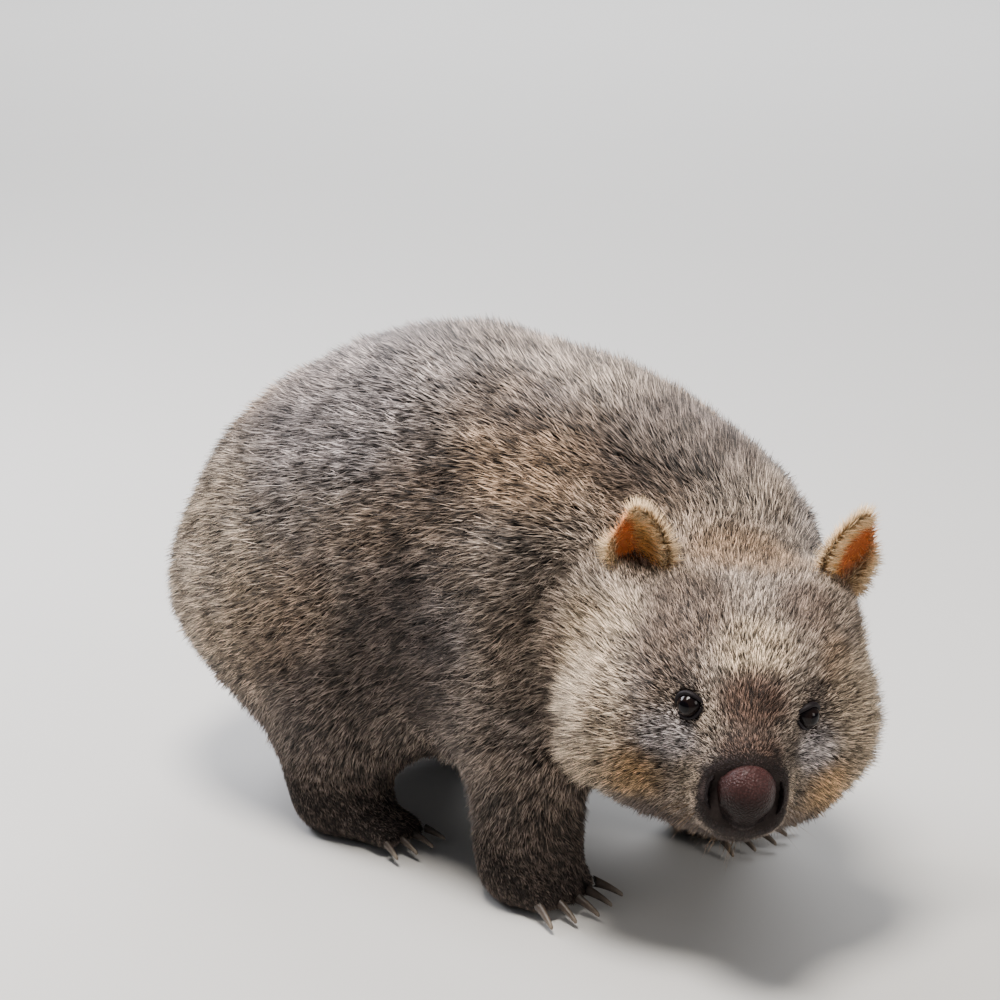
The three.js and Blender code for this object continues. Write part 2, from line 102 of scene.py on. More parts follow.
def ease(values, low, high):
    """0 below low, 1 above high and a soft step between them."""
    t = np.clip((np.asarray(values, float) - low) / (high - low), 0, 1)
    return t * t * (3 - 2 * t)


def unit(vectors):
    return vectors / np.maximum(np.linalg.norm(vectors, axis=-1, keepdims=True), 1e-12)


def ball_share(points, at, half, core=0.35, edge=1.0):
    """1 in the core of an egg-shaped place and 0 at its edge and beyond, both in half sizes."""
    away = np.linalg.norm((points - np.asarray(at, float)) / np.asarray(half, float), axis=1)
    return 1 - ease(away, core, edge)


def folded(points):
    """Points with the right side laid onto the left one."""
    return np.abs(points * [0, 1, 0]) + points * [1, 0, 1]


def along_skin(ways, normals):
    """Unit ways, laid flat on the skin."""
    return unit(ways - (ways * normals).sum(1, keepdims=True) * normals)


def blotches(points, size, seed):
    """Soft noise between -1 and 1 with features of about that size, the same for skin and coat."""
    draw = np.random.default_rng(seed)
    total = np.zeros(len(points))
    waves = 14
    for _ in range(waves):
        way = unit(draw.normal(size=3)) * 2 * math.pi / (size * draw.uniform(0.7, 1.6))
        total += np.sin(points @ way + draw.uniform(0, 2 * math.pi))
    return np.clip(total / math.sqrt(waves), -1.6, 1.6) / 1.6


# Small helpers for objects.


def nothing_selected():
    if bpy.context.object and bpy.context.object.mode != "OBJECT":
        bpy.ops.object.mode_set(mode="OBJECT")
    bpy.ops.object.select_all(action="DESELECT")


def only(piece):
    nothing_selected()
    piece.select_set(True)
    bpy.context.view_layer.objects.active = piece


def settle(piece):
    """Puts a piece's place into its mesh."""
    only(piece)
    bpy.ops.object.transform_apply(location=True, rotation=True, scale=True)


def apply_modifier(piece, kind, **values):
    modifier = piece.modifiers.new(kind.title(), kind)
    for key, value in values.items():
        setattr(modifier, key, value)
    only(piece)
    bpy.ops.object.modifier_apply(modifier=modifier.name)


def joined(pieces, name):
    nothing_selected()
    for piece in pieces:
        piece.select_set(True)
    bpy.context.view_layer.objects.active = pieces[0]
    if len(pieces) > 1:
        bpy.ops.object.join()
    pieces[0].name = name
    pieces[0].data.name = name
    return pieces[0]


def face_outwards(piece):
    only(piece)
    bpy.ops.object.mode_set(mode="EDIT")
    bpy.ops.mesh.select_all(action="SELECT")
    bpy.ops.mesh.remove_doubles(threshold=1e-6)
    bpy.ops.mesh.normals_make_consistent(inside=False)
    bpy.ops.object.mode_set(mode="OBJECT")


def copy_of(node):
    """A copy of a node's mesh, with its loose triangles joined to each other."""
    piece = bpy.data.objects.new(node + "_copy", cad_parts[node].data.copy())
    bpy.context.scene.collection.objects.link(piece)
    piece.data.materials.clear()
    only(piece)
    bpy.ops.object.mode_set(mode="EDIT")
    bpy.ops.mesh.select_all(action="SELECT")
    bpy.ops.mesh.remove_doubles(threshold=1e-6)
    bpy.ops.object.mode_set(mode="OBJECT")
    return piece


def places(mesh):
    flat = np.empty(len(mesh.vertices) * 3)
    mesh.vertices.foreach_get("co", flat)
    return flat.reshape(-1, 3)


def set_places(mesh, points):
    mesh.vertices.foreach_set("co", np.asarray(points, np.float32).ravel())
    mesh.update()


def normals_of(mesh):
    flat = np.empty(len(mesh.vertices) * 3)
    mesh.vertex_normals.foreach_get("vector", flat)
    return flat.reshape(-1, 3)


def finished(piece, material, slot, *nodes):
    piece.data.materials.clear()
    piece.data.materials.append(material)
    only(piece)
    bpy.ops.object.shade_smooth()
    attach(piece, "root")
    if nodes:
        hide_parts(*nodes)
    return piece


def relaxed(mesh, points, times, share=0.5):
    """Moves each point towards the middle of its neighbours."""
    many = len(points)
    ends = np.empty(len(mesh.edges) * 2, np.int32)
    mesh.edges.foreach_get("vertices", ends)
    a, b = ends.reshape(-1, 2).T
    count = np.bincount(a, minlength=many) + np.bincount(b, minlength=many)
    share = np.broadcast_to(np.asarray(share, float).reshape(-1, 1), (many, 1))
    for _ in range(times):
        total = [
            np.bincount(a, points[b, i], many) + np.bincount(b, points[a, i], many)
            for i in range(3)
        ]
        points = points + share * (np.stack(total, axis=1) / np.maximum(count, 1)[:, None] - points)
    return points


# Materials.


class Nodes:
    """Builds a material's nodes, one call for each."""

    def __init__(self, name):
        self.material = bpy.data.materials.new(name)
        self.material.use_nodes = True
        self.tree = self.material.node_tree
        self.shader = self.tree.nodes["Principled BSDF"]

    def add(self, kind, inputs=(), **values):
        node = self.tree.nodes.new(kind)
        for key, value in values.items():
            setattr(node, key, value)
        for key, value in dict(inputs).items():
            self.give(node.inputs[key], value)
        return node

    def give(self, socket, value):
        if isinstance(value, bpy.types.NodeSocket):
            self.tree.links.new(value, socket)
        else:
            socket.default_value = value

    def attribute(self, name):
        return self.add("ShaderNodeAttribute", attribute_name=name)

    def noise(self, scale, detail=3.0):
        where = self.add("ShaderNodeTexCoord").outputs["Object"]
        inputs = {"Vector": where, "Scale": scale, "Detail": detail, "Roughness": 0.6}
        return self.add("ShaderNodeTexNoise", inputs).outputs["Fac"]

    def ramp(self, value, stops):
        node = self.add("ShaderNodeValToRGB", {"Fac": value})
        band = node.color_ramp
        while len(band.elements) < len(stops):
            band.elements.new(0.5)
        for element, (place, colour) in zip(band.elements, stops):
            element.position = place
            element.color = colour if len(colour) == 4 else (*colour, 1)
        return node.outputs["Color"]

    def mix(self, share, a, b, blend="MIX"):
        node = self.add("ShaderNodeMix", data_type="RGBA", blend_type=blend)
        self.give(node.inputs[0], share)
        self.give(node.inputs[6], a if isinstance(a, bpy.types.NodeSocket) else (*a[:3], 1))
        self.give(node.inputs[7], b if isinstance(b, bpy.types.NodeSocket) else (*b[:3], 1))
        return node.outputs[2]

    def number(self, operation, *values):
        node = self.add("ShaderNodeMath", operation=operation)
        for socket, value in zip(node.inputs, values):
            self.give(socket, value)
        return node.outputs[0]

    def bump(self, height, strength, distance):
        inputs = {"Height": height, "Strength": strength, "Distance": distance}
        node = self.add("ShaderNodeBump", inputs)
        self.give(self.shader.inputs["Normal"], node.outputs["Normal"])

    def finish(self, colour, roughness, **values):
        self.give(self.shader.inputs["Base Color"], colour)
        self.give(self.shader.inputs["Roughness"], roughness)
        for key, value in values.items():
            self.shader.inputs[key.replace("_", " ")].default_value = value
        return self.material


def coat_material():
    """Fur: dark at the root, pale at the tip, each tuft a little lighter or darker."""
    nodes = Nodes("coat_fur")
    tint = nodes.attribute("tint").outputs["Color"]
    deep = nodes.attribute("deep").outputs["Color"]
    along = nodes.attribute("along").outputs["Fac"]
    shade = nodes.attribute("shade").outputs["Fac"]
    stops = [(0.42, 0), (0.60, 0.4), (0.74, 1), (1.0, 0.9)]
    rise = nodes.ramp(along, [(place, (grey,) * 3) for place, grey in stops])
    colour = nodes.mix(rise, deep, tint)
    grain = nodes.noise(700.0, 2.0)
    light = nodes.number("MULTIPLY_ADD", grain, 0.7, 0.65)
    light = nodes.number("MULTIPLY", light, shade)
    colour = nodes.mix(1.0, colour, light, "MULTIPLY")
    return nodes.finish(colour, 0.58, Specular_IOR_Level=0.3)


def skin_material():
    """Dark hide under the fur, with the coat's markings and its painted shade near the ground."""
    nodes = Nodes("skin")
    deep = nodes.attribute("deep").outputs["Color"]
    spots = nodes.noise(260.0, 4.0)
    share = nodes.ramp(spots, [(0.35, (0, 0, 0)), (0.7, (1, 1, 1))])
    colour = nodes.mix(share, (0.016, 0.011, 0.009), deep)
    nodes.bump(nodes.noise(420.0, 4.0), 0.6, 0.0012)
    return nodes.finish(colour, 0.8, Specular_IOR_Level=0.2)


def nose_material():
    """Bare skin with fine pebbles, moist on the bulb and dry round it."""
    nodes = Nodes("nose_skin")
    where = nodes.add("ShaderNodeTexCoord").outputs["Object"]
    pebbles = nodes.add(
        "ShaderNodeTexVoronoi", {"Vector": where, "Scale": 620.0, "Randomness": 1.0}
    ).outputs["Distance"]
    colour = nodes.attribute("tint").outputs["Color"]
    moist = nodes.attribute("moist").outputs["Fac"]
    patches = nodes.noise(140.0, 5.0)
    colour = nodes.mix(nodes.number("MULTIPLY", patches, 0.45), colour, (0.012, 0.005, 0.005))
    furrows = nodes.ramp(pebbles, [(0.0, (1, 1, 1)), (0.6, (0.4,) * 3)])
    colour = nodes.mix(0.8, colour, furrows, "MULTIPLY")
    nodes.bump(pebbles, 0.8, 0.0010)
    dry = nodes.number("MULTIPLY_ADD", moist, -0.42, 0.7)
    rough = nodes.number("MULTIPLY_ADD", patches, 0.2, dry)
    moisture = {"Specular_IOR_Level": 0.12, "Coat_Weight": 0.04, "Coat_Roughness": 0.22}
    return nodes.finish(colour, rough, **moisture)


def eye_material():
    """A black pupil in a very dark brown iris, under a clear cornea."""
    nodes = Nodes("eye")
    unwrap = nodes.add("ShaderNodeUVMap", uv_map="UVMap").outputs[0]
    rings = nodes.add("ShaderNodeSeparateXYZ", {0: unwrap})
    stops = [
        (0.5, (0.006, 0.004, 0.006)),
        (0.62, (0.003, 0.002, 0.003)),
        (0.7, (0.008, 0.005, 0.005)),
        (0.83, (0.011, 0.006, 0.005)),
        (0.86, (0.002, 0.001, 0.002)),
        (1.0, (0.001, 0.001, 0.002)),
    ]
    iris = nodes.ramp(rings.outputs["Y"], stops)
    flecks = nodes.number("MULTIPLY", nodes.noise(1800.0, 2.0), 0.4)
    colour = nodes.mix(flecks, iris, (0.0, 0.0, 0.0))
    gloss = {"Specular_IOR_Level": 0.12, "Coat_Weight": 0.07, "Coat_Roughness": 0.02}
    return nodes.finish(colour, 0.08, **gloss)


def lid_material():
    """Thin dark skin of the lids, moist along the rim."""
    nodes = Nodes("lid_skin")
    patches = nodes.noise(500.0, 4.0)
    colour = nodes.ramp(patches, [(0.3, (0.004, 0.003, 0.004)), (0.7, (0.010, 0.006, 0.008))])
    nodes.bump(nodes.noise(1500.0, 3.0), 0.5, 0.0004)
    return nodes.finish(colour, 0.55, Specular_IOR_Level=0.2)


def ear_material():
    """Thin ear skin, orange inside where the light comes through."""
    nodes = Nodes("ear_skin")
    tint = nodes.attribute("tint").outputs["Color"]
    veins = nodes.noise(220.0, 5.0)
    colour = nodes.mix(nodes.number("MULTIPLY", veins, 0.55), tint, (0.16, 0.05, 0.02))
    nodes.bump(nodes.noise(700.0, 3.0), 0.4, 0.0006)
    thin = {"Specular_IOR_Level": 0.3, "Subsurface_Weight": 0.25, "Subsurface_Scale": 0.004}
    return nodes.finish(colour, 0.6, **thin)


def claw_material():
    """Worn horn with long streaks."""
    nodes = Nodes("horn")
    along = nodes.attribute("along").outputs["Fac"]
    streaks = nodes.noise(400.0, 4.0)
    stops = [(0.0, (0.03, 0.02, 0.016)), (0.6, (0.10, 0.075, 0.055)), (1.0, (0.26, 0.21, 0.16))]
    colour = nodes.ramp(along, stops)
    colour = nodes.mix(nodes.number("MULTIPLY", streaks, 0.7), colour, (0.03, 0.022, 0.018))
    nodes.bump(streaks, 0.4, 0.0006)
    return nodes.finish(colour, 0.45, Specular_IOR_Level=0.45)


def floor_material(colour):
    nodes = Nodes("pale_floor")
    tone = nodes.noise(3.0, 5.0)
    shade = nodes.mix(tone, [c * 0.97 for c in colour], colour)
    nodes.bump(nodes.noise(300.0, 3.0), 0.05, 0.001)
    return nodes.finish(shade, 0.7, Specular_IOR_Level=0.2)


# Markings and painted light and shade: the colours of the tips and of the underfur at a place, for
# the skin and the coat alike.

GREY = np.array([0.42, 0.335, 0.265])
CREAM = np.array([0.78, 0.61, 0.43])
BUFF = np.array([0.44, 0.29, 0.175])
GOLD = np.array([0.58, 0.36, 0.165])
ORANGE = np.array([0.60, 0.16, 0.035])
FLAME = np.array([0.78, 0.26, 0.06])
AMBER = np.array([0.95, 0.52, 0.17])
FRINGE = np.array([0.98, 0.72, 0.42])
RUST = np.array([0.15, 0.09, 0.066])
SILVER = np.array([0.56, 0.50, 0.48])
UMBER = np.array([0.19, 0.135, 0.10])
DUSK = np.array([0.10, 0.074, 0.063])
COOL = np.array([0.42, 0.375, 0.37])
SOOT = np.array([0.026, 0.014, 0.013])
UNDERFUR = np.array([0.012, 0.008, 0.007])
WARM_UNDERFUR = np.array([0.026, 0.015, 0.010])


def blend_towards(base, share, colour):
    return base + np.clip(share, 0, 1)[:, None] * (colour - base)


def head_share(points):
    """1 on the head and 0 on the body. Its edge runs close behind the widest part of the cheeks."""
    local = in_head(points)
    past_cheek = np.maximum(np.abs(local[:, 1] + 6) - 84, 0)
    ahead = local[:, 0] + 0.35 * np.minimum(local[:, 2], 60) - 1.2 * past_cheek
    near = 1 - ease(np.linalg.norm(local * [1, 1, 1.1], axis=1), 120, 165)
    return ease(ahead, -62, -36) * near


def tip_colour(points):
    """The colour of the fur's tips, with painted light and shade among the markings."""
    x, y, z = points.T
    tips = np.tile(GREY, (len(points), 1))
    tips = blend_towards(tips, 0.6 * ease(blotches(points, 0.16, 3), 0.0, 0.9), BUFF)
    tips = blend_towards(tips, 0.35 * ease(blotches(points, 0.09, 4), 0.1, 0.9), COOL)
    for at, half, colour, share in BODY_MARKS_AND_PAINTED_LIGHT:
        tips = blend_towards(tips, share * ball_share(folded(points), at, half), colour)
    tips *= (1 + 0.25 * blotches(points, 0.045, 5))[:, None]
    # Painted shade: the tips darken towards the ground, over the lower flanks, the belly and the
    # legs.
    tips = blend_towards(tips, 0.2 * (1 - ease(z, 0.08, 0.26)), DUSK)
    tips = blend_towards(tips, 0.8 * (1 - ease(z, 0.03, 0.15)), DUSK)
    # Painted light from behind: the rear of the rump is paler.
    tips = blend_towards(tips, 0.7 * ease(-x, 0.27, 0.335) * ease(z, 0.05, 0.14), CREAM)
    on_head = head_share(points)
    tips += on_head[:, None] * (face_colour(in_head(points)) - tips)
    return tips


# Marks on the body, with painted light and shade among them, the same on both sides: middle and half
# sizes in metres, colour and strength.
BODY_MARKS_AND_PAINTED_LIGHT = [
    # Painted sky light: a cooler, paler top of the back.
    ((-0.12, 0.10, 0.35), (0.18, 0.16, 0.10), COOL, 0.6),
    ((-0.10, 0.00, 0.40), (0.18, 0.10, 0.07), DUSK, 0.45),
    # Painted light from behind: a paler rump.
    ((-0.21, 0.13, 0.19), (0.13, 0.10, 0.14), CREAM, 0.6),
    ((0.09, 0.10, 0.33), (0.08, 0.07, 0.06), BUFF, 0.8),
    # Painted shade: the shoulders, the upper sides, the flank hollow, the thighs, behind the cheeks,
    # the nape and the forelegs.
    ((0.05, 0.06, 0.37), (0.10, 0.05, 0.05), DUSK, 0.45),
    ((0.01, 0.12, 0.30), (0.07, 0.05, 0.04), DUSK, 0.4),
    ((0.01, 0.14, 0.18), (0.085, 0.06, 0.12), DUSK, 0.8),
    ((-0.07, 0.15, 0.12), (0.09, 0.06, 0.08), DUSK, 0.6),
    ((0.14, 0.12, 0.26), (0.08, 0.07, 0.08), DUSK, 0.25),
    ((0.15, 0.02, 0.34), (0.08, 0.12, 0.07), DUSK, 0.8),
    ((0.12, 0.13, 0.12), (0.10, 0.07, 0.11), DUSK, 0.2),
]


def face_colour(local):
    """The colour of the tips on the head, with painted light and shade among them, at places given
    in its own frame.
    """
    face = np.tile(GREY, (len(local), 1)) * (1.05 + 0.2 * blotches(local, 22, 6))[:, None]
    for at, half, colour, share, sides in FACE_MARKS_AND_PAINTED_LIGHT:
        for s in sides:
            face = blend_towards(face, share * ball_share(local * [1, s, 1], at, half), colour)
    wide = np.abs(local[:, 1])
    margin = ease(wide, 74, 96) * (1 - ease(local[:, 2], 50, 80))
    face = blend_towards(face, 0.9 * margin, CREAM)
    # Painted shade: the tips darken under the jaw.
    under = ease(-local[:, 2], 40, 64) * (1 - ease(wide, 58, 84))
    face = blend_towards(face, 0.85 * under, DUSK)
    return blend_towards(face, ring_share(local), SOOT)


def ring_share(local):
    """1 on the dark ring round the nose and 0 past it."""
    return ball_share(local, (100, 0, -20), (24, 33, 31), 0.95, 1.12)


# Marks on the face, with painted light and shade among them: middle and half sizes in the head's
# frame in millimetres, colour, strength, and the sides that bear it.
BOTH, RIGHT_ONLY, LEFT_ONLY = (-1, 1), (-1,), (1,)
FACE_MARKS_AND_PAINTED_LIGHT = [
    ((54, -2, 70), (30, 38, 28), CREAM, 0.7, BOTH),
    ((2, 88, 62), (30, 26, 30), CREAM, 0.6, RIGHT_ONLY),
    ((20, 44, 82), (56, 46, 46), UMBER, 0.85, RIGHT_ONLY),
    ((38, 60, 52), (40, 34, 44), UMBER, 0.85, RIGHT_ONLY),
    ((16, 42, 90), (36, 34, 30), RUST, 0.6, LEFT_ONLY),
    ((34, 66, 56), (32, 26, 34), BUFF * 0.8, 0.7, LEFT_ONLY),
    ((-36, 0, 104), (36, 60, 40), BUFF, 0.6, BOTH),
    ((78, 0, 40), (30, 36, 30), RUST, 0.85, BOTH),
    ((98, 0, 12), (24, 34, 20), RUST, 0.85, BOTH),
    ((64, 50, 46), (20, 20, 18), DUSK, 0.6, BOTH),
    ((54, 76, 22), (26, 20, 22), DUSK, 0.3, BOTH),
    ((64, 54, 2), (30, 30, 26), SILVER * 1.55, 0.95, BOTH),
    # Painted light: a paler margin on the left cheek, as if lit from that side.
    ((30, 82, 20), (44, 40, 56), CREAM, 0.75, LEFT_ONLY),
    ((80, 38, -22), (22, 18, 24), CREAM, 0.6, BOTH),
    ((48, 76, -38), (44, 38, 34), GOLD * 1.45, 0.7, BOTH),
    ((20, 98, -36), (36, 24, 40), GOLD * 1.4, 0.5, BOTH),
    # Painted shade under the chin.
    ((84, 0, -62), (30, 34, 18), DUSK, 0.8, BOTH),
]


def deep_colour(points):
    """The colour of the underfur, with painted shade near the ground."""
    z = points[:, 2]
    deep = np.tile(UNDERFUR, (len(points), 1))
    deep = blend_towards(deep, 0.6 * head_share(points), WARM_UNDERFUR)
    deep = blend_towards(deep, ring_share(in_head(points)), SOOT * 0.4)
    # Painted shade: the underfur darkens further towards the ground.
    return blend_towards(deep, 0.6 * (1 - ease(z, 0.04, 0.16)), UNDERFUR * 0.5)


# The coat's depth, length and lie.

PAD_AT = (100, 0, -19)


def foot_share(points):
    """1 on the paws and 0 above the knees."""
    return 1 - ease(points[:, 2], 0.035, 0.085)


def muzzle_share(local):
    """1 round the nose and 0 past the eyes, in the head's frame."""
    return ball_share(local, (104, 0, -20), (1, 1, 1.1), 34, 66)


def pad_share(local):
    """1 under the pad of the nose and 0 past it, in the head's frame."""
    return ball_share(local, PAD_AT, (26, 28, 23), 0.8, 1.15)


def eye_share(local):
    """1 round the eyes and 0 past them."""
    return ball_share(folded(local), (66, 40, 26), (1, 1, 1), 12, 26)


def coat_depth(points, looks):
    """How far the skin lies inside the solids."""
    local = in_head(points)
    depth = np.full(len(points), looks.body_depth)
    face = looks.face_depth * (1 + 0.6 * margin_share(local))
    depth += head_share(points) * (face - depth)
    depth += muzzle_share(local) * (looks.muzzle_depth - depth)
    depth += eye_share(local) * (looks.eye_depth - depth)
    depth += foot_share(points) * (looks.foot_depth - depth)
    return depth + looks.pad_depth * pad_share(local)


def lie(points, normals):
    """The way that the fur lies: back and down on the body, away from the nose on the head."""
    low = 1 - ease(points[:, 2], 0.06, 0.15)
    side = np.abs(normals[:, 1])
    rump = ease(-normals[:, 0], 0.3, 0.9)
    body = np.stack(
        [
            -1 + 0.75 * low + 0.5 * rump,
            0.25 * normals[:, 1],
            -0.12 - 0.5 * side - 0.8 * low - 0.8 * rump,
        ],
        axis=1,
    )
    toes = foot_share(points)[:, None]
    body += toes * (np.array([0.8, 0, -0.5]) - body)
    local = in_head(points)
    away = unit(local - [96, 0, 0])
    away[:, 0] -= 0.25
    away[:, 2] += 0.18 * ease(local[:, 2], 20, 60)
    head = away @ HEAD_ROWS.T
    way = body + head_share(points)[:, None] * (head - body)
    way += 0.24 * np.stack([blotches(points, 0.045, s) for s in (11, 12, 13)], axis=1)
    return along_skin(way, normals)


def fur_length(points, looks):
    local = in_head(points)
    length = np.full(len(points), looks.body_length)
    length *= 1 - 0.3 * (1 - ease(points[:, 2], 0.06, 0.2))
    cheek = margin_share(local)
    face = looks.face_length * (1 + 0.9 * cheek)
    length += head_share(points) * (face - length)
    length += muzzle_share(local) * (looks.muzzle_length - length)
    length += eye_share(local) * (looks.muzzle_length * 0.9 - length)
    length += foot_share(points) * (looks.foot_length - length)
    length *= 1 - 0.5 * ring_share(local)
    for side in SIDES:
        base = np.array(EAR_AT[side]) + [14, 0, -6]
        length *= 1 - 0.45 * ball_share(local, base, (26, 26, 26))
    return length


def margin_share(local):
    """1 at the margin of the cheeks, where the fur stands out furthest."""
    return ease(np.abs(local[:, 1]), 66, 98) * (1 - ease(local[:, 2], 55, 85))


# Regions of the coat, each a piece of its own, the body's in order from the rump to the neck.

FACE_REGIONS = ["coat_face_right", "coat_face_left"]
BODY_PARTS = ["rump", "haunches", "loins", "back", "shoulders", "neck"]
BODY_REGIONS = ["coat_" + part for part in BODY_PARTS]


def even_lots(places_on_line, shares, lots):
    """Parts a row of places into lots of equal share, in order along a line."""
    order = np.argsort(places_on_line)
    total = np.cumsum(shares[order])
    lot = np.empty(len(order), int)
    lot[order] = np.minimum(total / total[-1] * lots, lots - 1).astype(int)
    return lot


def regions_of(middles, shares):
    """The number of the region of each place, so that every region bears the same share."""
    on_head = head_share(middles) > 0.35
    region = np.empty(len(middles), int)
    across = in_head(middles[on_head])[:, 1]
    region[on_head] = even_lots(across, shares[on_head], len(FACE_REGIONS))
    along = middles[~on_head, 0]
    region[~on_head] = len(FACE_REGIONS) + even_lots(along, shares[~on_head], len(BODY_REGIONS))
    return region


# Tufts.


def mesh_from(name, points, triangles):
    mesh = bpy.data.meshes.new(name)
    mesh.vertices.add(len(points))
    mesh.vertices.foreach_set("co", np.asarray(points, np.float32).ravel())
    mesh.loops.add(len(triangles) * 3)
    mesh.loops.foreach_set("vertex_index", np.asarray(triangles, np.int32).ravel())
    mesh.polygons.add(len(triangles))
    mesh.polygons.foreach_set("loop_start", np.arange(len(triangles), dtype=np.int32) * 3)
    mesh.update(calc_edges=True)
    return mesh


def put_colour(mesh, name, colours):
    layer = mesh.color_attributes.new(name, "FLOAT_COLOR", "POINT")
    rgba = np.ones((len(colours), 4), np.float32)
    rgba[:, :3] = colours
    layer.data.foreach_set("color", rgba.ravel())


def put_number(mesh, name, values):
    layer = mesh.attributes.new(name, "FLOAT", "POINT")
    layer.data.foreach_set("value", np.asarray(values, np.float32))


# Shares of dark and of pale guard hairs among the tufts, and the spread of light and dark from
# tuft to tuft and from clump to clump.
DARK_SHARE = 0.36
PALE_SHARE = 0.14
TUFT_SPECKLE = 0.42
CLUMP_SPECKLE = 0.52
TUFTS_IN_CLUMP = 8

# How far tufts stray sideways from the lie, how wide they are and how much finer elsewhere.
STRAY = 0.3
TUFT_WIDTH = 0.0016
FINER_ON_HEAD = 0.0005
FINER_WHERE_SHORT = 0.0004

# A tuft is a closed spike: a triangle under the skin and a tip.
TUFT_CORNERS = 4
TUFT_FACES = np.array([[1, 0, 3], [2, 1, 3], [0, 2, 3], [0, 1, 2]])
TUFT_ALONG = np.array([0.0, 0.0, 0.0, 1.0])
TUFT_PATCH = np.array([[-1, -1], [1, -1], [0, -0.3], [0, 1]]) * 0.0015
ROOT_DEPTH = 0.0012
LOWEST = 0.0006


def tufts(name, roots, normals, spots, hair):
    """One mesh of closed, tapered tufts, each leaving its root at its lift."""
    ways, lift, width = hair["way"], hair["lift"][:, None], hair["width"][:, None]
    side = unit(np.cross(ways, normals))
    rise = np.cos(lift) * ways + np.sin(lift) * normals
    ridge = unit(np.cross(side, rise))
    start = roots - normals * ROOT_DEPTH
    tip = roots + rise * hair["length"][:, None] + hair["sway"]
    half = side * width / 2
    corners = np.stack([start - half, start + half, start + ridge * width * 0.45, tip], axis=1)
    corners[:, :, 2] += np.maximum(LOWEST - corners[:, :, 2].min(1), 0)[:, None]
    count = len(roots)
    faces = TUFT_FACES[None] + (np.arange(count) * TUFT_CORNERS)[:, None, None]
    mesh = mesh_from(name, corners.reshape(-1, 3), faces.reshape(-1, 3))
    for layer, key in (("tint", "tip"), ("deep", "deep")):
        put_colour(mesh, layer, np.repeat(hair[key], TUFT_CORNERS, axis=0))
    put_number(mesh, "shade", np.repeat(hair["shade"], TUFT_CORNERS))
    put_number(mesh, "along", np.tile(TUFT_ALONG, count))
    patch = spots[:, None, :] + TUFT_PATCH[None]
    uv = patch[:, TUFT_FACES.ravel()].reshape(-1, 2)
    layer = mesh.uv_layers.new(name="OFBake")
    layer.data.foreach_set("uv", np.clip(uv, 0, 1).astype(np.float32).ravel())
    piece = bpy.data.objects.new(name, mesh)
    bpy.context.scene.collection.objects.link(piece)
    return piece


class Hide:
    """The skin's triangles, for drawing roots on it."""

    def __init__(self, skin):
        self.skin = skin
        mesh = skin.data
        mesh.calc_loop_triangles()
        count = len(mesh.loop_triangles)
        self.corners = np.empty(count * 3, np.int32)
        self.loops = np.empty(count * 3, np.int32)
        self.faces = np.empty(count, np.int32)
        mesh.loop_triangles.foreach_get("vertices", self.corners)
        mesh.loop_triangles.foreach_get("loops", self.loops)
        mesh.loop_triangles.foreach_get("polygon_index", self.faces)
        self.corners = self.corners.reshape(-1, 3)
        self.loops = self.loops.reshape(-1, 3)
        self.points = places(mesh)
        self.normals = unit(relaxed(mesh, normals_of(mesh), 6))
        a, b, c = (self.points[self.corners[:, i]] for i in range(3))
        self.areas = np.linalg.norm(np.cross(b - a, c - a), axis=1) / 2
        self.middles = (a + b + c) / 3
        self.face_normals = unit(self.normals[self.corners].sum(1))

    def sown(self, draw, shares, count, mask):
        """Random roots, their outward ways, and their spots on an unwrap of the masked part."""
        total = np.cumsum(shares)
        chosen = np.searchsorted(total, draw.uniform(0, total[-1], count))
        u, v = draw.uniform(size=(2, count))
        over = u + v > 1
        u[over], v[over] = 1 - u[over], 1 - v[over]
        weights = np.stack([1 - u - v, u, v], axis=1)[:, :, None]
        corners = self.corners[chosen]
        roots = (self.points[corners] * weights).sum(1)
        normals = unit((self.normals[corners] * weights).sum(1))
        spots = (self.unwrapped(mask)[self.loops[chosen]] * weights).sum(1)
        return roots, normals, spots

    def unwrapped(self, mask):
        """Each loop's place on an unwrap of the masked part of the skin."""
        mesh = self.skin.data
        only(self.skin)
        mesh.uv_layers.active = mesh.uv_layers.new(name="region")
        select = np.zeros(len(mesh.polygons), bool)
        select[self.faces[mask]] = True
        mesh.polygons.foreach_set("select", select)
        mesh.edges.foreach_set("select", np.zeros(len(mesh.edges), bool))
        bpy.ops.object.mode_set(mode="EDIT")
        bpy.ops.mesh.select_mode(type="FACE")
        bpy.ops.uv.smart_project(angle_limit=math.radians(75), island_margin=0.01)
        bpy.ops.object.mode_set(mode="OBJECT")
        uv = np.empty(len(mesh.loops) * 2)
        mesh.uv_layers["region"].data.foreach_get("uv", uv)
        mesh.uv_layers.remove(mesh.uv_layers["region"])
        return uv.reshape(-1, 2)


# Pieces.


# Kinds of settings.


def size_of(name, description, default, unit="LENGTH"):
    return bpy.props.FloatProperty(name=name, description=description, default=default, unit=unit)


def angle_of(name, description, degrees):
    return size_of(name, description, math.radians(degrees), "ROTATION")


def count_of(name, description, default):
    return bpy.props.IntProperty(name=name, description=description, default=default)


def colour_of(name, description, default):
    return bpy.props.FloatVectorProperty(
        name=name, description=description, default=default, subtype="COLOR"
    )


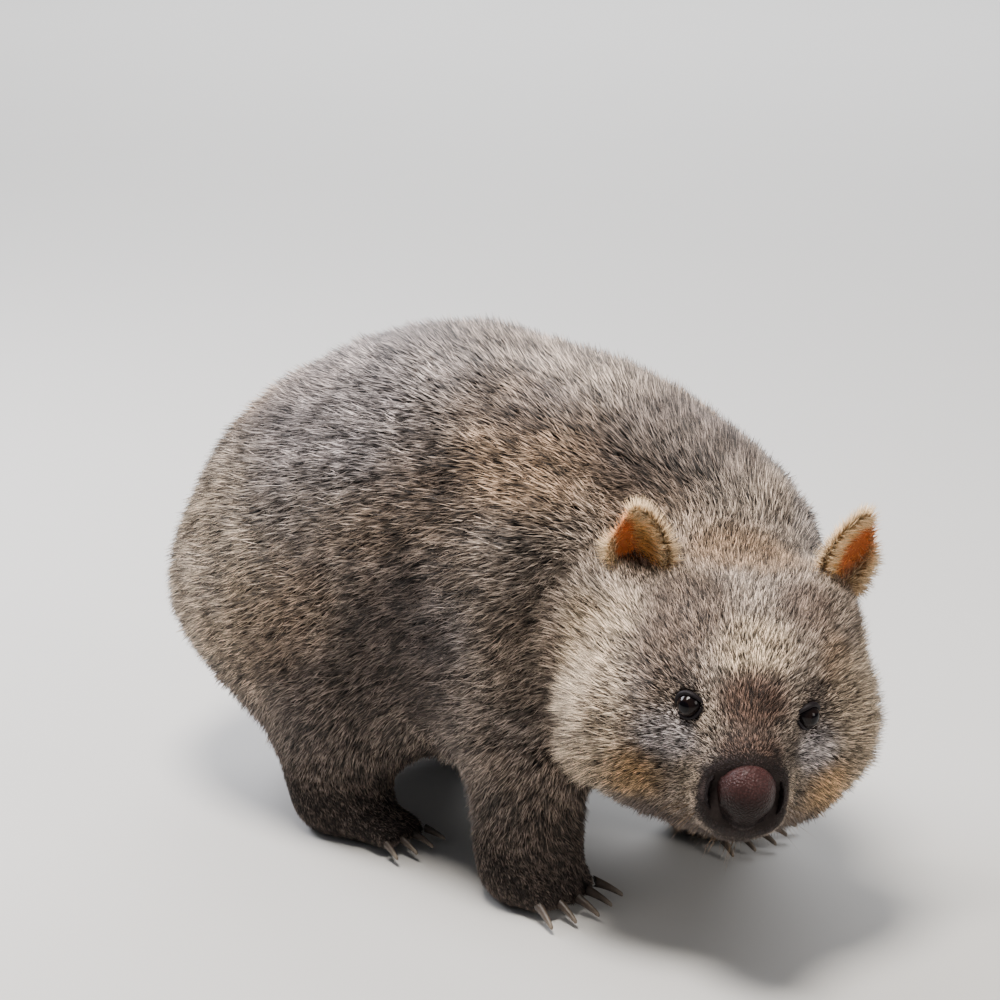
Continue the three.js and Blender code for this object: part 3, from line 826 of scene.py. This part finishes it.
class StageSettings(bpy.types.PropertyGroup):
    camera_at: bpy.props.FloatVectorProperty(
        name="Camera",
        description="Where the camera stands",
        default=(1.4234, -1.6027, 0.897),
        subtype="XYZ",
        unit="LENGTH",
    )
    camera_turn: angle_of("Turn", "Turn of the view about the upright axis", 42)
    camera_drop: angle_of("Drop", "How far the camera looks down", 16.5)
    lens: size_of("Lens", "Focal length in millimetres", 108.0, "CAMERA")
    floor_colour: colour_of("Floor", "Colour of the floor", (0.62, 0.61, 0.59))
    sky: size_of("Sky", "Strength of the light all round", 0.22, "NONE")
    key: size_of("Key", "Power of the main soft light", 115.0, "POWER")
    fill: size_of("Fill", "Power of the soft light ahead", 24.0, "POWER")
    rim: size_of("Rim", "Power of the light behind", 75.0, "POWER")
    backdrop: size_of("Backdrop", "Power of the light on the far floor", 420.0, "POWER")


class SkinSettings(bpy.types.PropertyGroup):
    grain: size_of("Grain", "Size of the skin's faces", 0.0036)
    body_depth: size_of("Body", "Coat's depth on the body", 0.012)
    face_depth: size_of("Face", "Coat's depth on the face", 0.0065)
    muzzle_depth: size_of("Muzzle", "Coat's depth round the nose", 0.0022)
    eye_depth: size_of("Eyes", "Coat's depth round the eyes", 0.0035)
    foot_depth: size_of("Feet", "Coat's depth on the paws", 0.0022)
    pad_depth: size_of("Nose", "How much deeper the skin lies under the nose", 0.0055)


class CoatSettings(bpy.types.PropertyGroup):
    count: count_of("Tufts", "Tufts in each region of the coat", 44000)
    ear_count: count_of("Ear tufts", "Tufts on each ear", 6000)
    nose_count: count_of("Nose tufts", "Tufts on the pad round the nose's bulb", 6000)
    whisker_count: count_of("Whiskers", "Long hairs round the mouth", 90)
    seed: count_of("Seed", "Start of the random draws", 7)
    body_length: size_of("Body", "Length of the body's fur", 0.0215)
    face_length: size_of("Face", "Length of the face's fur", 0.0125)
    muzzle_length: size_of("Muzzle", "Length round the nose", 0.0052)
    foot_length: size_of("Feet", "Length on the paws", 0.0065)
    lift: angle_of("Lift", "How steeply tufts leave the skin", 30)
    clump: size_of("Clump", "How far tips gather in clumps, from 0 to 1", 0.35, "NONE")


class FaceSettings(bpy.types.PropertyGroup):
    lid_radius: size_of("Lids", "Radius of the ring of the lids", 0.0090)
    lid_thickness: size_of("Lid rim", "Thickness of the lids' rim", 0.0015)
    nose_width: size_of("Nose", "Width of the nose over its wings", 0.062)
    # The bulb's two colours paint a sheen on its top and shade on its lower half.
    nose_top_with_sheen: colour_of("Nose", "Colour of the bulb's top", (0.115, 0.050, 0.048))
    nose_low_with_shade: colour_of("Nose below", "Colour of the bulb's lower half", (0.010, 0.002, 0.001))
    wing_colour: colour_of("Wings", "Colour of the ring round it", (0.008, 0.004, 0.004))
    ear_height: size_of("Ear height", "Height of an ear", 0.060)
    ear_width: size_of("Ear width", "Width of an ear", 0.042)


class WOMBAT_OT_stage(bpy.types.Operator):
    """Floor, soft lights and the camera"""

    bl_idname = "wombat.stage"
    bl_label = "Stage"

    def execute(self, context):
        looks = context.scene.wombat_stage
        nothing_selected()
        bpy.ops.mesh.primitive_circle_add(vertices=96, radius=40, fill_type="NGON")
        floor = context.object
        floor.name = "floor"
        floor.data.materials.append(floor_material(looks.floor_colour))
        world = context.scene.world or bpy.data.worlds.new("World")
        context.scene.world = world
        world.use_nodes = True
        backdrop = world.node_tree.nodes["Background"]
        backdrop.inputs["Color"].default_value = (0.93, 0.95, 1.0, 1)
        backdrop.inputs["Strength"].default_value = looks.sky
        middle = (0.08, 0, 0.2)
        far_floor = (-3.4, 3.8, 0)
        over_far_floor = (*far_floor[:2], 3.4)
        for name, at, aim, size, power, colour in [
            ("key_light", (0.1, -0.6, 2.6), middle, 0.9, looks.key, (1.0, 0.94, 0.87)),
            ("fill_light", (2.6, 0.3, 1.3), middle, 1.2, looks.fill, (1.0, 0.95, 0.9)),
            ("rim_light", (-1.8, -0.3, 1.7), middle, 1.1, looks.rim, (0.92, 0.93, 1.0)),
            ("backdrop_light", over_far_floor, far_floor, 5.0, looks.backdrop, (0.96, 0.97, 1.0)),
        ]:
            self.soft_light(name, at, aim, size, power, colour)
        self.camera(context, looks)
        return {"FINISHED"}

    def soft_light(self, name, at, aim, size, power, colour):
        bpy.ops.object.light_add(type="AREA", location=at)
        light = bpy.context.object
        light.name = name
        light.data.shape = "DISK"
        light.data.size = size
        light.data.energy = power
        light.data.color = colour
        way = Vector(aim) - Vector(at)
        light.rotation_euler = way.to_track_quat("-Z", "Y").to_euler()

    def camera(self, context, looks):
        turn, drop = looks.camera_turn, looks.camera_drop
        level = math.cos(drop)
        back = Vector((math.sin(turn) * level, -math.cos(turn) * level, math.sin(drop)))
        bpy.ops.object.camera_add(location=looks.camera_at)
        camera = context.object
        camera.name = "camera"
        camera.rotation_euler = (-back).to_track_quat("-Z", "Y").to_euler()
        camera.data.sensor_width = 36
        camera.data.lens = looks.lens
        camera.data.clip_start = 0.05
        camera.data.clip_end = 200
        context.scene.camera = camera


class WOMBAT_OT_skin(bpy.types.Operator):
    """One skin over all the flesh, as far inside the solids as the coat is deep"""

    bl_idname = "wombat.skin"
    bl_label = "Skin"

    def execute(self, context):
        looks = context.scene.wombat_skin
        skin = joined([copy_of(node) for node in FLESH], "skin")
        apply_modifier(skin, "DISPLACE", strength=0.0005, mid_level=0)
        apply_modifier(skin, "REMESH", mode="VOXEL", voxel_size=looks.grain)
        self.draw_in(skin, looks)
        put_colour(skin.data, "deep", deep_colour(places(skin.data)))
        finished(skin, skin_material(), "coat", *FLESH)
        return {"FINISHED"}

    def draw_in(self, skin, looks):
        """Moves the surface inwards by the coat's depth, a little at a time."""
        mesh = skin.data
        points = places(mesh)
        local = in_head(points)
        soft = 0.55 - 0.35 * np.maximum(foot_share(points), muzzle_share(local))
        points = relaxed(mesh, points, 10, soft)
        steps = 5
        depth = coat_depth(points, looks)
        for _ in range(steps):
            set_places(mesh, points)
            inwards = unit(relaxed(mesh, normals_of(mesh), 3))
            points = relaxed(mesh, points - inwards * (depth / steps)[:, None], 1, soft)
        points[:, 2] = np.maximum(points[:, 2], 0.0004)
        set_places(mesh, points)


# The bare bulb of the nose in the head's frame, in millimetres.
BULB_AT = np.array([103, 0, -15])
BULB_HALF = np.array([18, 18.6, 21])


class WOMBAT_OT_nose(bpy.types.Operator):
    """The bare nose: a bulb between two wings, each opened by a comma-shaped nostril"""

    bl_idname = "wombat.nose"
    bl_label = "Nose"

    def execute(self, context):
        looks = context.scene.wombat_face
        wide = looks.nose_width / MM
        masses = [
            self.mass(BULB_AT, BULB_HALF),
            self.mass((102, 0, -33), (11, 11, 9)),
            self.mass((92, 0, -19), (13, 0.43 * wide, 21)),
        ]
        for s in SIDES.values():
            masses.append(self.mass((93, s * 0.29 * wide, -21), (15, 0.16 * wide, 16)))
            masses.append(self.mass((94, s * 0.2 * wide, -35), (12, 0.2 * wide, 8)))
        nose = joined(masses, "nose_pad")
        apply_modifier(nose, "REMESH", mode="VOXEL", voxel_size=0.0011)
        apply_modifier(nose, "SMOOTH", factor=0.5, iterations=5)
        for s in SIDES.values():
            self.open_nostril(nose, s, wide)
        apply_modifier(nose, "REMESH", mode="VOXEL", voxel_size=0.0008)
        apply_modifier(nose, "SMOOTH", factor=0.5, iterations=5)
        local = in_head(places(nose.data))
        moist = ball_share(local, BULB_AT, BULB_HALF, 0.98, 1.14)
        # Painted sheen and shade: the bulb runs from the darker lower colour up to the paler top
        # one.
        low, top = np.array(looks.nose_low_with_shade), np.array(looks.nose_top_with_sheen)
        skin = blend_towards(np.tile(low, (len(local), 1)), ease(local[:, 2], -24, 4), top)
        ring = np.tile(np.array(looks.wing_colour), (len(local), 1))
        put_colour(nose.data, "tint", blend_towards(ring, moist, skin))
        put_number(nose.data, "moist", moist)
        finished(nose, nose_material(), "nose", "nose")
        return {"FINISHED"}

    def mass(self, at, half):
        nothing_selected()
        bpy.ops.mesh.primitive_uv_sphere_add(segments=32, ring_count=20, radius=1)
        mass = bpy.context.object
        size = Matrix.Diagonal((*(Vector(half) * MM), 1))
        mass.matrix_world = HEAD @ Matrix.Translation(Vector(at) * MM) @ size
        settle(mass)
        return mass

    def open_nostril(self, nose, s, wide):
        """A crescent that runs down beside the bulb and curls under it."""
        path = [
            (0.30, -5, 1.8),
            (0.335, -9, 2.8),
            (0.355, -14, 3.6),
            (0.355, -19, 4.0),
            (0.34, -24, 3.8),
            (0.31, -29, 3.2),
            (0.27, -33, 2.2),
        ]
        beads = [
            self.mass((110 - 10 * across, s * across * wide, z), (11, radius, radius * 1.4))
            for across, z, radius in path
        ]
        cutter = joined(beads, "nostril")
        apply_modifier(cutter, "REMESH", mode="VOXEL", voxel_size=0.0007)
        apply_modifier(nose, "BOOLEAN", operation="DIFFERENCE", object=cutter, solver="EXACT")
        bpy.data.objects.remove(cutter)


class WOMBAT_OT_eyes(bpy.types.Operator):
    """Eyeballs with a cornea, and the lids round them"""

    bl_idname = "wombat.eyes"
    bl_label = "Eyes and lids"

    def execute(self, context):
        looks = context.scene.wombat_face
        gloss, skin = eye_material(), lid_material()
        for side, s in SIDES.items():
            low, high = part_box("eye_" + side)
            at, radius = (low + high) / 2, (high - low).x / 2
            look = (HEAD.to_3x3() @ Vector((0.77, s * 0.64, 0.06))).normalized()
            self.eyeball(side, at, radius, look, gloss)
            self.lids(side, s, at, look, looks, skin)
        return {"FINISHED"}

    def eyeball(self, side, at, radius, look, material):
        nothing_selected()
        turned = look.to_track_quat("Z", "Y").to_euler()
        bpy.ops.mesh.primitive_uv_sphere_add(
            segments=48, ring_count=32, radius=radius, location=at, rotation=turned
        )
        ball = bpy.context.object
        ball.name = "eyeball_" + side
        settle(ball)
        points = places(ball.data)
        away = points - np.array(at)
        front = ease(unit(away) @ np.array(look), 0.72, 1.0)
        set_places(ball.data, points + away * 0.06 * front[:, None])
        finished(ball, material, "eye", "eye_" + side)

    def lids(self, side, s, at, look, looks, material):
        """A rim of skin, drawn to a corner at each end, thicker above."""
        nothing_selected()
        bpy.ops.mesh.primitive_torus_add(
            major_segments=56,
            minor_segments=14,
            major_radius=looks.lid_radius,
            minor_radius=looks.lid_thickness,
        )
        lids = bpy.context.object
        lids.name = "lids_" + side
        points = places(lids.data)
        angle = np.arctan2(points[:, 1], points[:, 0])
        ring = np.stack([np.cos(angle), np.sin(angle)], axis=1) * looks.lid_radius
        out = points[:, :2] - ring
        corner = np.abs(np.cos(angle)) ** 6
        thick = 1.0 + 0.15 * np.sin(angle) - 0.3 * corner
        ring *= np.stack([1.0 + 0.14 * corner, np.where(np.sin(angle) > 0, 0.98, 0.96)], axis=1)
        points[:, :2] = ring + out * thick[:, None]
        points[:, 2] = points[:, 2] * thick * 1.3 - 0.0028 * corner
        points[:, 2] += 0.0008 * np.maximum(np.sin(angle), 0)
        set_places(lids.data, points)
        across = Vector((0, 0, 1)).cross(look).normalized()
        facing = Matrix((across, look.cross(across), look)).transposed()
        tilt = Matrix.Rotation(-s * 0.22, 3, look) @ facing
        lids.matrix_world = Matrix.Translation(at + look * 0.0026) @ tilt.to_4x4()
        settle(lids)
        finished(lids, material, "eye")


class WOMBAT_OT_ears(bpy.types.Operator):
    """Thin cupped ears"""

    bl_idname = "wombat.ears"
    bl_label = "Ears"

    def execute(self, context):
        looks = context.scene.wombat_face
        material = ear_material()
        for side, s in SIDES.items():
            ear = ear_leaf(side, s, looks)
            local = ear_places(places(ear.data), side, s)
            # Painted light shining through the thin ear: its hollow face turns orange.
            tint = blend_towards(np.tile(BUFF * 0.6, (len(local), 1)), ear_inside(local), ORANGE)
            tint = blend_towards(tint, ease(ear_reach(local), 0.8, 1.0), AMBER * 0.8)
            put_colour(ear.data, "tint", tint)
            finished(ear, material, "ear", "ear_" + side)
        return {"FINISHED"}


def ear_frame(side, s):
    """The ear's own frame: +X out of its opening, +Y across and +Z to its tip."""
    stand = Euler((s * -0.24, 0.1, s * EAR_TURN[side]), "XYZ").to_matrix().to_4x4()
    return HEAD @ Matrix.Translation(Vector(EAR_AT[side]) * MM) @ stand


def ear_leaf(side, s, looks):
    nothing_selected()
    bpy.ops.mesh.primitive_uv_sphere_add(segments=48, ring_count=32, radius=1)
    ear = bpy.context.object
    ear.name = "ear_cup_" + side
    points = places(ear.data)
    across, up, through = points[:, 0].copy(), points[:, 1].copy(), points[:, 2].copy()
    out = np.hypot(across, up)
    pinch = 1 - 0.36 * np.maximum(up, 0) ** 1.3
    thick = 0.0034
    shaped = np.stack(
        [
            -EAR_DISH * (1 - out**2) + thick / 2 * through,
            -s * (across * 0.5 * looks.ear_width * pinch + 0.003 * up),
            up * 0.54 * looks.ear_height + 0.1 * looks.ear_height,
        ],
        axis=1,
    )
    set_places(ear.data, shaped)
    ear.matrix_world = ear_frame(side, s)
    settle(ear)
    face_outwards(ear)
    return ear


def ear_places(points, side, s):
    """Places in the ear's frame: out of its opening, across towards the head's middle, and up."""
    frame_of_ear = ear_frame(side, s)
    local = (points - np.array(frame_of_ear.translation)) @ np.array(frame_of_ear.to_3x3())
    return local * [1, -s, 1]


def ear_out(local):
    """Places on the ear's leaf, across and up from its middle, as shares of its half sizes."""
    return local[:, 1] / 0.021, (local[:, 2] - 0.006) / 0.033


def ear_reach(local):
    """0 at the middle of the ear and 1 at its rim."""
    return np.hypot(*ear_out(local))


def ear_front(local):
    """How far a place lies before the middle of the dished leaf."""
    return local[:, 0] + EAR_DISH * (1 - ear_reach(local) ** 2)


def ear_inside(local):
    """1 on the hollow face of the ear and 0 on its back."""
    return ease(ear_front(local), 0.0, 0.0012) * (1 - ease(ear_reach(local), 0.8, 1.0))


def ear_shares(local):
    """How far a place is on the rim, in the hollow and at the inner edge."""
    return ease(ear_reach(local), 0.72, 0.98), ear_inside(local), ease(local[:, 1], -0.006, 0.006)


class WOMBAT_OT_claws(bpy.types.Operator):
    """Claws of horn, rounded from their solids"""

    bl_idname = "wombat.claws"
    bl_label = "Claws"

    def execute(self, context):
        material = claw_material()
        for kind, toes in TOES.items():
            for side in SIDES:
                nodes = [f"{kind}claw_{side}_{i + 1}" for i in range(toes)]
                claws = []
                for node in nodes:
                    claw = copy_of(node)
                    points = places(claw.data)
                    reach = (points[:, 0] - points[:, 0].min()) / np.ptp(points[:, 0])
                    put_number(claw.data, "along", reach)
                    claws.append(claw)
                piece = joined(claws, f"claws_{kind}_{side}")
                apply_modifier(piece, "SUBSURF", levels=2, render_levels=2)
                finished(piece, material, "claw", *nodes)
        return {"FINISHED"}


class WOMBAT_OT_coat(bpy.types.Operator):
    """The coat: closed tufts that follow its lie, in one piece for each region"""

    bl_idname = "wombat.coat"
    bl_label = "Coat"

    def execute(self, context):
        looks = context.scene.wombat_coat
        hide = Hide(bpy.data.objects["skin"])
        material = coat_material()
        shares = hide.areas * self.density(hide)
        regions = regions_of(hide.middles, shares)
        for number, name in enumerate(FACE_REGIONS + BODY_REGIONS):
            draw = np.random.default_rng(looks.seed + number)
            mine = regions == number
            roots, normals, spots = hide.sown(draw, shares * mine, looks.count, mine)
            piece = tufts(name, roots, normals, spots, self.hair(roots, normals, draw, looks))
            finished(piece, material, "face" if name in FACE_REGIONS else "coat")
        self.whiskers(hide, material, looks)
        return {"FINISHED"}

    def density(self, hide):
        """How thickly tufts stand: more of them where they are short, none on bare skin."""
        local = in_head(hide.middles)
        thick = 1 + 0.9 * (foot_share(hide.middles) + muzzle_share(local)) + 0.5 * eye_share(local)
        thick += 0.5 * ease(hide.middles[:, 0], 0.02, 0.16)
        thick *= 1 - 0.4 * ease(-hide.face_normals[:, 2], 0.4, 0.9)
        return thick * (1 - self.bare_share(hide.middles))

    def bare_share(self, points):
        """1 where no fur grows: under the nose pad and the eyes, and on the soles."""
        local = in_head(points)
        pad = ball_share(local, PAD_AT, (26, 27, 22), 0.95, 1.02)
        eyes = ball_share(folded(local), (63.4, 39.8, 26), (1, 1, 1), 9.0, 10.5)
        soles = 1 - ease(points[:, 2], 0.002, 0.004)
        return np.maximum(np.maximum(pad, eyes), soles)

    def hair(self, roots, normals, draw, looks):
        """Size, lie and colour of the tuft on each root."""
        count = len(roots)
        local = in_head(roots)
        on_head = head_share(roots)
        close = np.maximum(muzzle_share(local), foot_share(roots))
        close = np.maximum(close, 0.8 * eye_share(local))
        margin = on_head * margin_share(local)
        ways = lie(roots, normals)
        side = np.cross(ways, normals)
        ways = unit(ways + side * draw.normal(0, STRAY, count)[:, None])
        length = fur_length(roots, looks) * draw.uniform(0.7, 1.15, count)
        lift = looks.lift * draw.uniform(0.6, 1.4, count) * (1 + 0.3 * blotches(roots, 0.03, 21))
        lift = lift * (1 - 0.45 * close) * (1 + 0.2 * margin)
        width = TUFT_WIDTH - FINER_ON_HEAD * on_head - FINER_WHERE_SHORT * close
        width = width * draw.uniform(0.7, 1.3, count)
        light, sway = self.clumps(roots, draw, looks)
        shade = light * np.exp(draw.normal(0, TUFT_SPECKLE, count) * (1.15 - 0.2 * on_head))
        guard = draw.uniform(size=count)
        shade *= np.where(guard < DARK_SHARE, draw.uniform(0.08, 0.4, count), 1.0)
        shade *= np.where(guard > 1 - PALE_SHARE, 1.5, 1.0)
        rise = np.cos(lift)[:, None] * ways + np.sin(lift)[:, None] * normals
        ends = roots + rise * length[:, None] * 0.85
        return {
            "way": ways,
            "length": length,
            "width": width,
            "lift": lift,
            "sway": sway,
            "tip": tip_colour(ends),
            "deep": deep_colour(roots),
            "shade": np.clip(shade, 0.05, 2.3),
        }

    def clumps(self, roots, draw, looks):
        """Gathers the tips of near tufts, and makes each clump lighter or darker."""
        count = len(roots)
        heads = draw.choice(count, count // TUFTS_IN_CLUMP, replace=False)
        tree = KDTree(len(heads))
        for i, head in enumerate(heads):
            tree.insert(roots[head], i)
        tree.balance()
        nearest = np.array([tree.find(root)[1] for root in roots])
        strength = looks.clump * draw.uniform(0.3, 1.6, count)[:, None]
        pull = (roots[heads[nearest]] - roots) * strength
        light = np.exp(draw.normal(-0.06, CLUMP_SPECKLE, len(heads)))[nearest]
        return light, pull

    def whiskers(self, hide, material, looks):
        """Long pale hairs on the muzzle and under the chin."""
        draw = np.random.default_rng(looks.seed + 100)
        local = in_head(hide.middles)
        lips = ball_share(folded(local), (84, 34, -36), (24, 16, 18))
        chin = ball_share(local, (84, 0, -60), (30, 40, 14))
        shares = hide.areas * (lips + 0.35 * chin)
        roots, normals, spots = hide.sown(draw, shares, looks.whisker_count, shares > 0)
        count = len(roots)
        down = np.array([0, 0, -0.8]) * draw.uniform(0.3, 1.0, count)[:, None]
        ways = lie(roots, normals) + down + draw.normal(0, 0.25, (count, 3))
        hair = {
            "way": along_skin(ways, normals),
            "length": draw.uniform(0.014, 0.030, count),
            "width": draw.uniform(0.0003, 0.00055, count),
            "lift": draw.uniform(0.6, 1.2, count),
            "sway": np.zeros((count, 3)),
            "tip": np.tile(BUFF, (count, 1)),
            "deep": np.tile(BUFF * 0.3, (count, 1)),
            "shade": draw.uniform(0.3, 1.3, count),
        }
        finished(tufts("coat_whiskers", roots, normals, spots, hair), material, "face")


class WOMBAT_OT_ear_coat(bpy.types.Operator):
    """Fur on the ears: short on the back, a fringe along the rim and down inside"""

    bl_idname = "wombat.ear_coat"
    bl_label = "Ear fur"

    def execute(self, context):
        looks = context.scene.wombat_coat
        material = bpy.data.materials["coat_fur"]
        for side, s in SIDES.items():
            draw = np.random.default_rng(looks.seed + 200 + s)
            hide = Hide(bpy.data.objects["ear_cup_" + side])
            rim, inside, inner_edge = ear_shares(ear_places(hide.middles, side, s))
            shares = hide.areas * (1 + 2.5 * rim + inside * (1 - rim) * (1.6 * inner_edge - 0.6))
            everywhere = np.ones(len(shares), bool)
            roots, normals, spots = hide.sown(draw, shares, looks.ear_count, everywhere)
            hair = self.hair(roots, normals, side, s, draw)
            finished(tufts("coat_ear_" + side, roots, normals, spots, hair), material, "ear")
        return {"FINISHED"}

    def hair(self, roots, normals, side, s, draw):
        count = len(roots)
        local = ear_places(roots, side, s)
        rim, inside, inner_edge = ear_shares(local)
        across, up = ear_out(local)
        way = np.stack([0.2 * rim, across * rim, 0.5 + up * rim], axis=1)
        way[:, 1] -= 0.7 * inside * inner_edge
        way += draw.normal(0, 0.22, (count, 3))
        ways = (way * [1, -s, 1]) @ np.array(ear_frame(side, s).to_3x3()).T
        tips = np.tile(BUFF * 0.9, (count, 1))
        # Painted light shining through the ear: the fur in the hollow is flame-coloured.
        tips = blend_towards(tips, inside * (1 - 0.7 * inner_edge), FLAME)
        tips = blend_towards(tips, inside * inner_edge, AMBER)
        ahead = ease(ear_front(local), -0.0014, 0.0002)
        fringe = rim * (1 - 0.3 * inner_edge) * (0.25 + 0.75 * ahead)
        tips = blend_towards(tips, fringe, FRINGE)
        dark = (draw.uniform(size=count) < 0.04 + 0.10 * inner_edge) * (1 - rim)
        length = 0.0065 + 0.006 * rim + 0.005 * inner_edge * inside
        return {
            "way": along_skin(ways, normals),
            "length": length * draw.uniform(0.6, 1.2, count),
            "width": 0.00095 * draw.uniform(0.7, 1.3, count),
            "lift": (0.45 + 0.4 * rim) * draw.uniform(0.6, 1.3, count),
            "sway": np.zeros((count, 3)),
            "tip": tips,
            "deep": blend_towards(tips * 0.3, np.maximum(inside, rim), tips * 0.8),
            "shade": np.exp(draw.normal(0, 0.25, count)) * np.where(dark > 0, 0.3, 1.0),
        }


class WOMBAT_OT_nose_coat(bpy.types.Operator):
    """Short dark fur on the pad round the nose's bare bulb"""

    bl_idname = "wombat.nose_coat"
    bl_label = "Nose fur"

    def execute(self, context):
        looks = context.scene.wombat_coat
        draw = np.random.default_rng(looks.seed + 300)
        hide = Hide(bpy.data.objects["nose_pad"])
        shares = hide.areas * self.grown(in_head(hide.middles))
        roots, normals, spots = hide.sown(draw, shares, looks.nose_count, shares > 0)
        local = in_head(roots)
        count = len(roots)
        past = 1 - ball_share(local, BULB_AT, BULB_HALF, 1.1, 1.7)
        outwards = unit((local - BULB_AT) * [0, 1, 1])
        way = outwards + [-0.5, 0, 0] + draw.normal(0, 0.25, (count, 3))
        tips = np.tile(SOOT, (count, 1))
        lengths = (0.0018 + 0.0024 * past) * draw.uniform(0.7, 1.3, count)
        hair = {
            "way": along_skin(way @ HEAD_ROWS.T, normals),
            "length": lengths,
            "width": 0.0005 * draw.uniform(0.7, 1.3, count),
            "lift": draw.uniform(0.3, 0.8, count),
            "sway": np.zeros((count, 3)),
            "tip": blend_towards(tips, past * draw.uniform(0, 0.8, count), RUST),
            "deep": np.tile(SOOT * 0.4, (count, 1)),
            "shade": np.exp(draw.normal(0, 0.35, count)),
        }
        piece = tufts("coat_nose", roots, normals, spots, hair)
        finished(piece, bpy.data.materials["coat_fur"], "nose")
        return {"FINISHED"}

    def grown(self, local):
        """1 on the furred pad and 0 on the bulb and round the nostrils."""
        bulb = ball_share(local, BULB_AT, BULB_HALF, 1.08, 1.2)
        nostril = ball_share(folded(local) * [0, 1, 1], (0, 21, -19), (1, 5.5, 17), 0.9, 1.1)
        return (1 - bulb) * (1 - nostril)


class WOMBAT_PT_panel(bpy.types.Panel):
    """Lists the pieces and their sizes"""

    bl_idname = "WOMBAT_PT_panel"
    bl_label = "Wombat"
    bl_space_type = "VIEW_3D"
    bl_region_type = "UI"
    bl_category = "Wombat"

    def draw(self, context):
        for operator in PIECES:
            self.layout.operator(operator.bl_idname)
        for key in SETTINGS:
            column = self.layout.column(heading=key.title())
            group = getattr(context.scene, "wombat_" + key)
            for name in group.__annotations__:
                column.prop(group, name)


SETTINGS = {
    "stage": StageSettings,
    "skin": SkinSettings,
    "coat": CoatSettings,
    "face": FaceSettings,
}
PIECES = [
    WOMBAT_OT_stage,
    WOMBAT_OT_skin,
    WOMBAT_OT_nose,
    WOMBAT_OT_eyes,
    WOMBAT_OT_ears,
    WOMBAT_OT_claws,
    WOMBAT_OT_coat,
    WOMBAT_OT_ear_coat,
    WOMBAT_OT_nose_coat,
]


def register():
    for group in (*SETTINGS.values(), *PIECES, WOMBAT_PT_panel):
        bpy.utils.register_class(group)
    for key, group in SETTINGS.items():
        setattr(bpy.types.Scene, "wombat_" + key, bpy.props.PointerProperty(type=group))


def unregister():
    for key in SETTINGS:
        delattr(bpy.types.Scene, "wombat_" + key)
    for group in reversed((*SETTINGS.values(), *PIECES, WOMBAT_PT_panel)):
        bpy.utils.unregister_class(group)


def main():
    register()
    for operator in PIECES:
        folder, name = operator.bl_idname.split(".")
        getattr(getattr(bpy.ops, folder), name)()


if __name__ == "__main__":
    main()
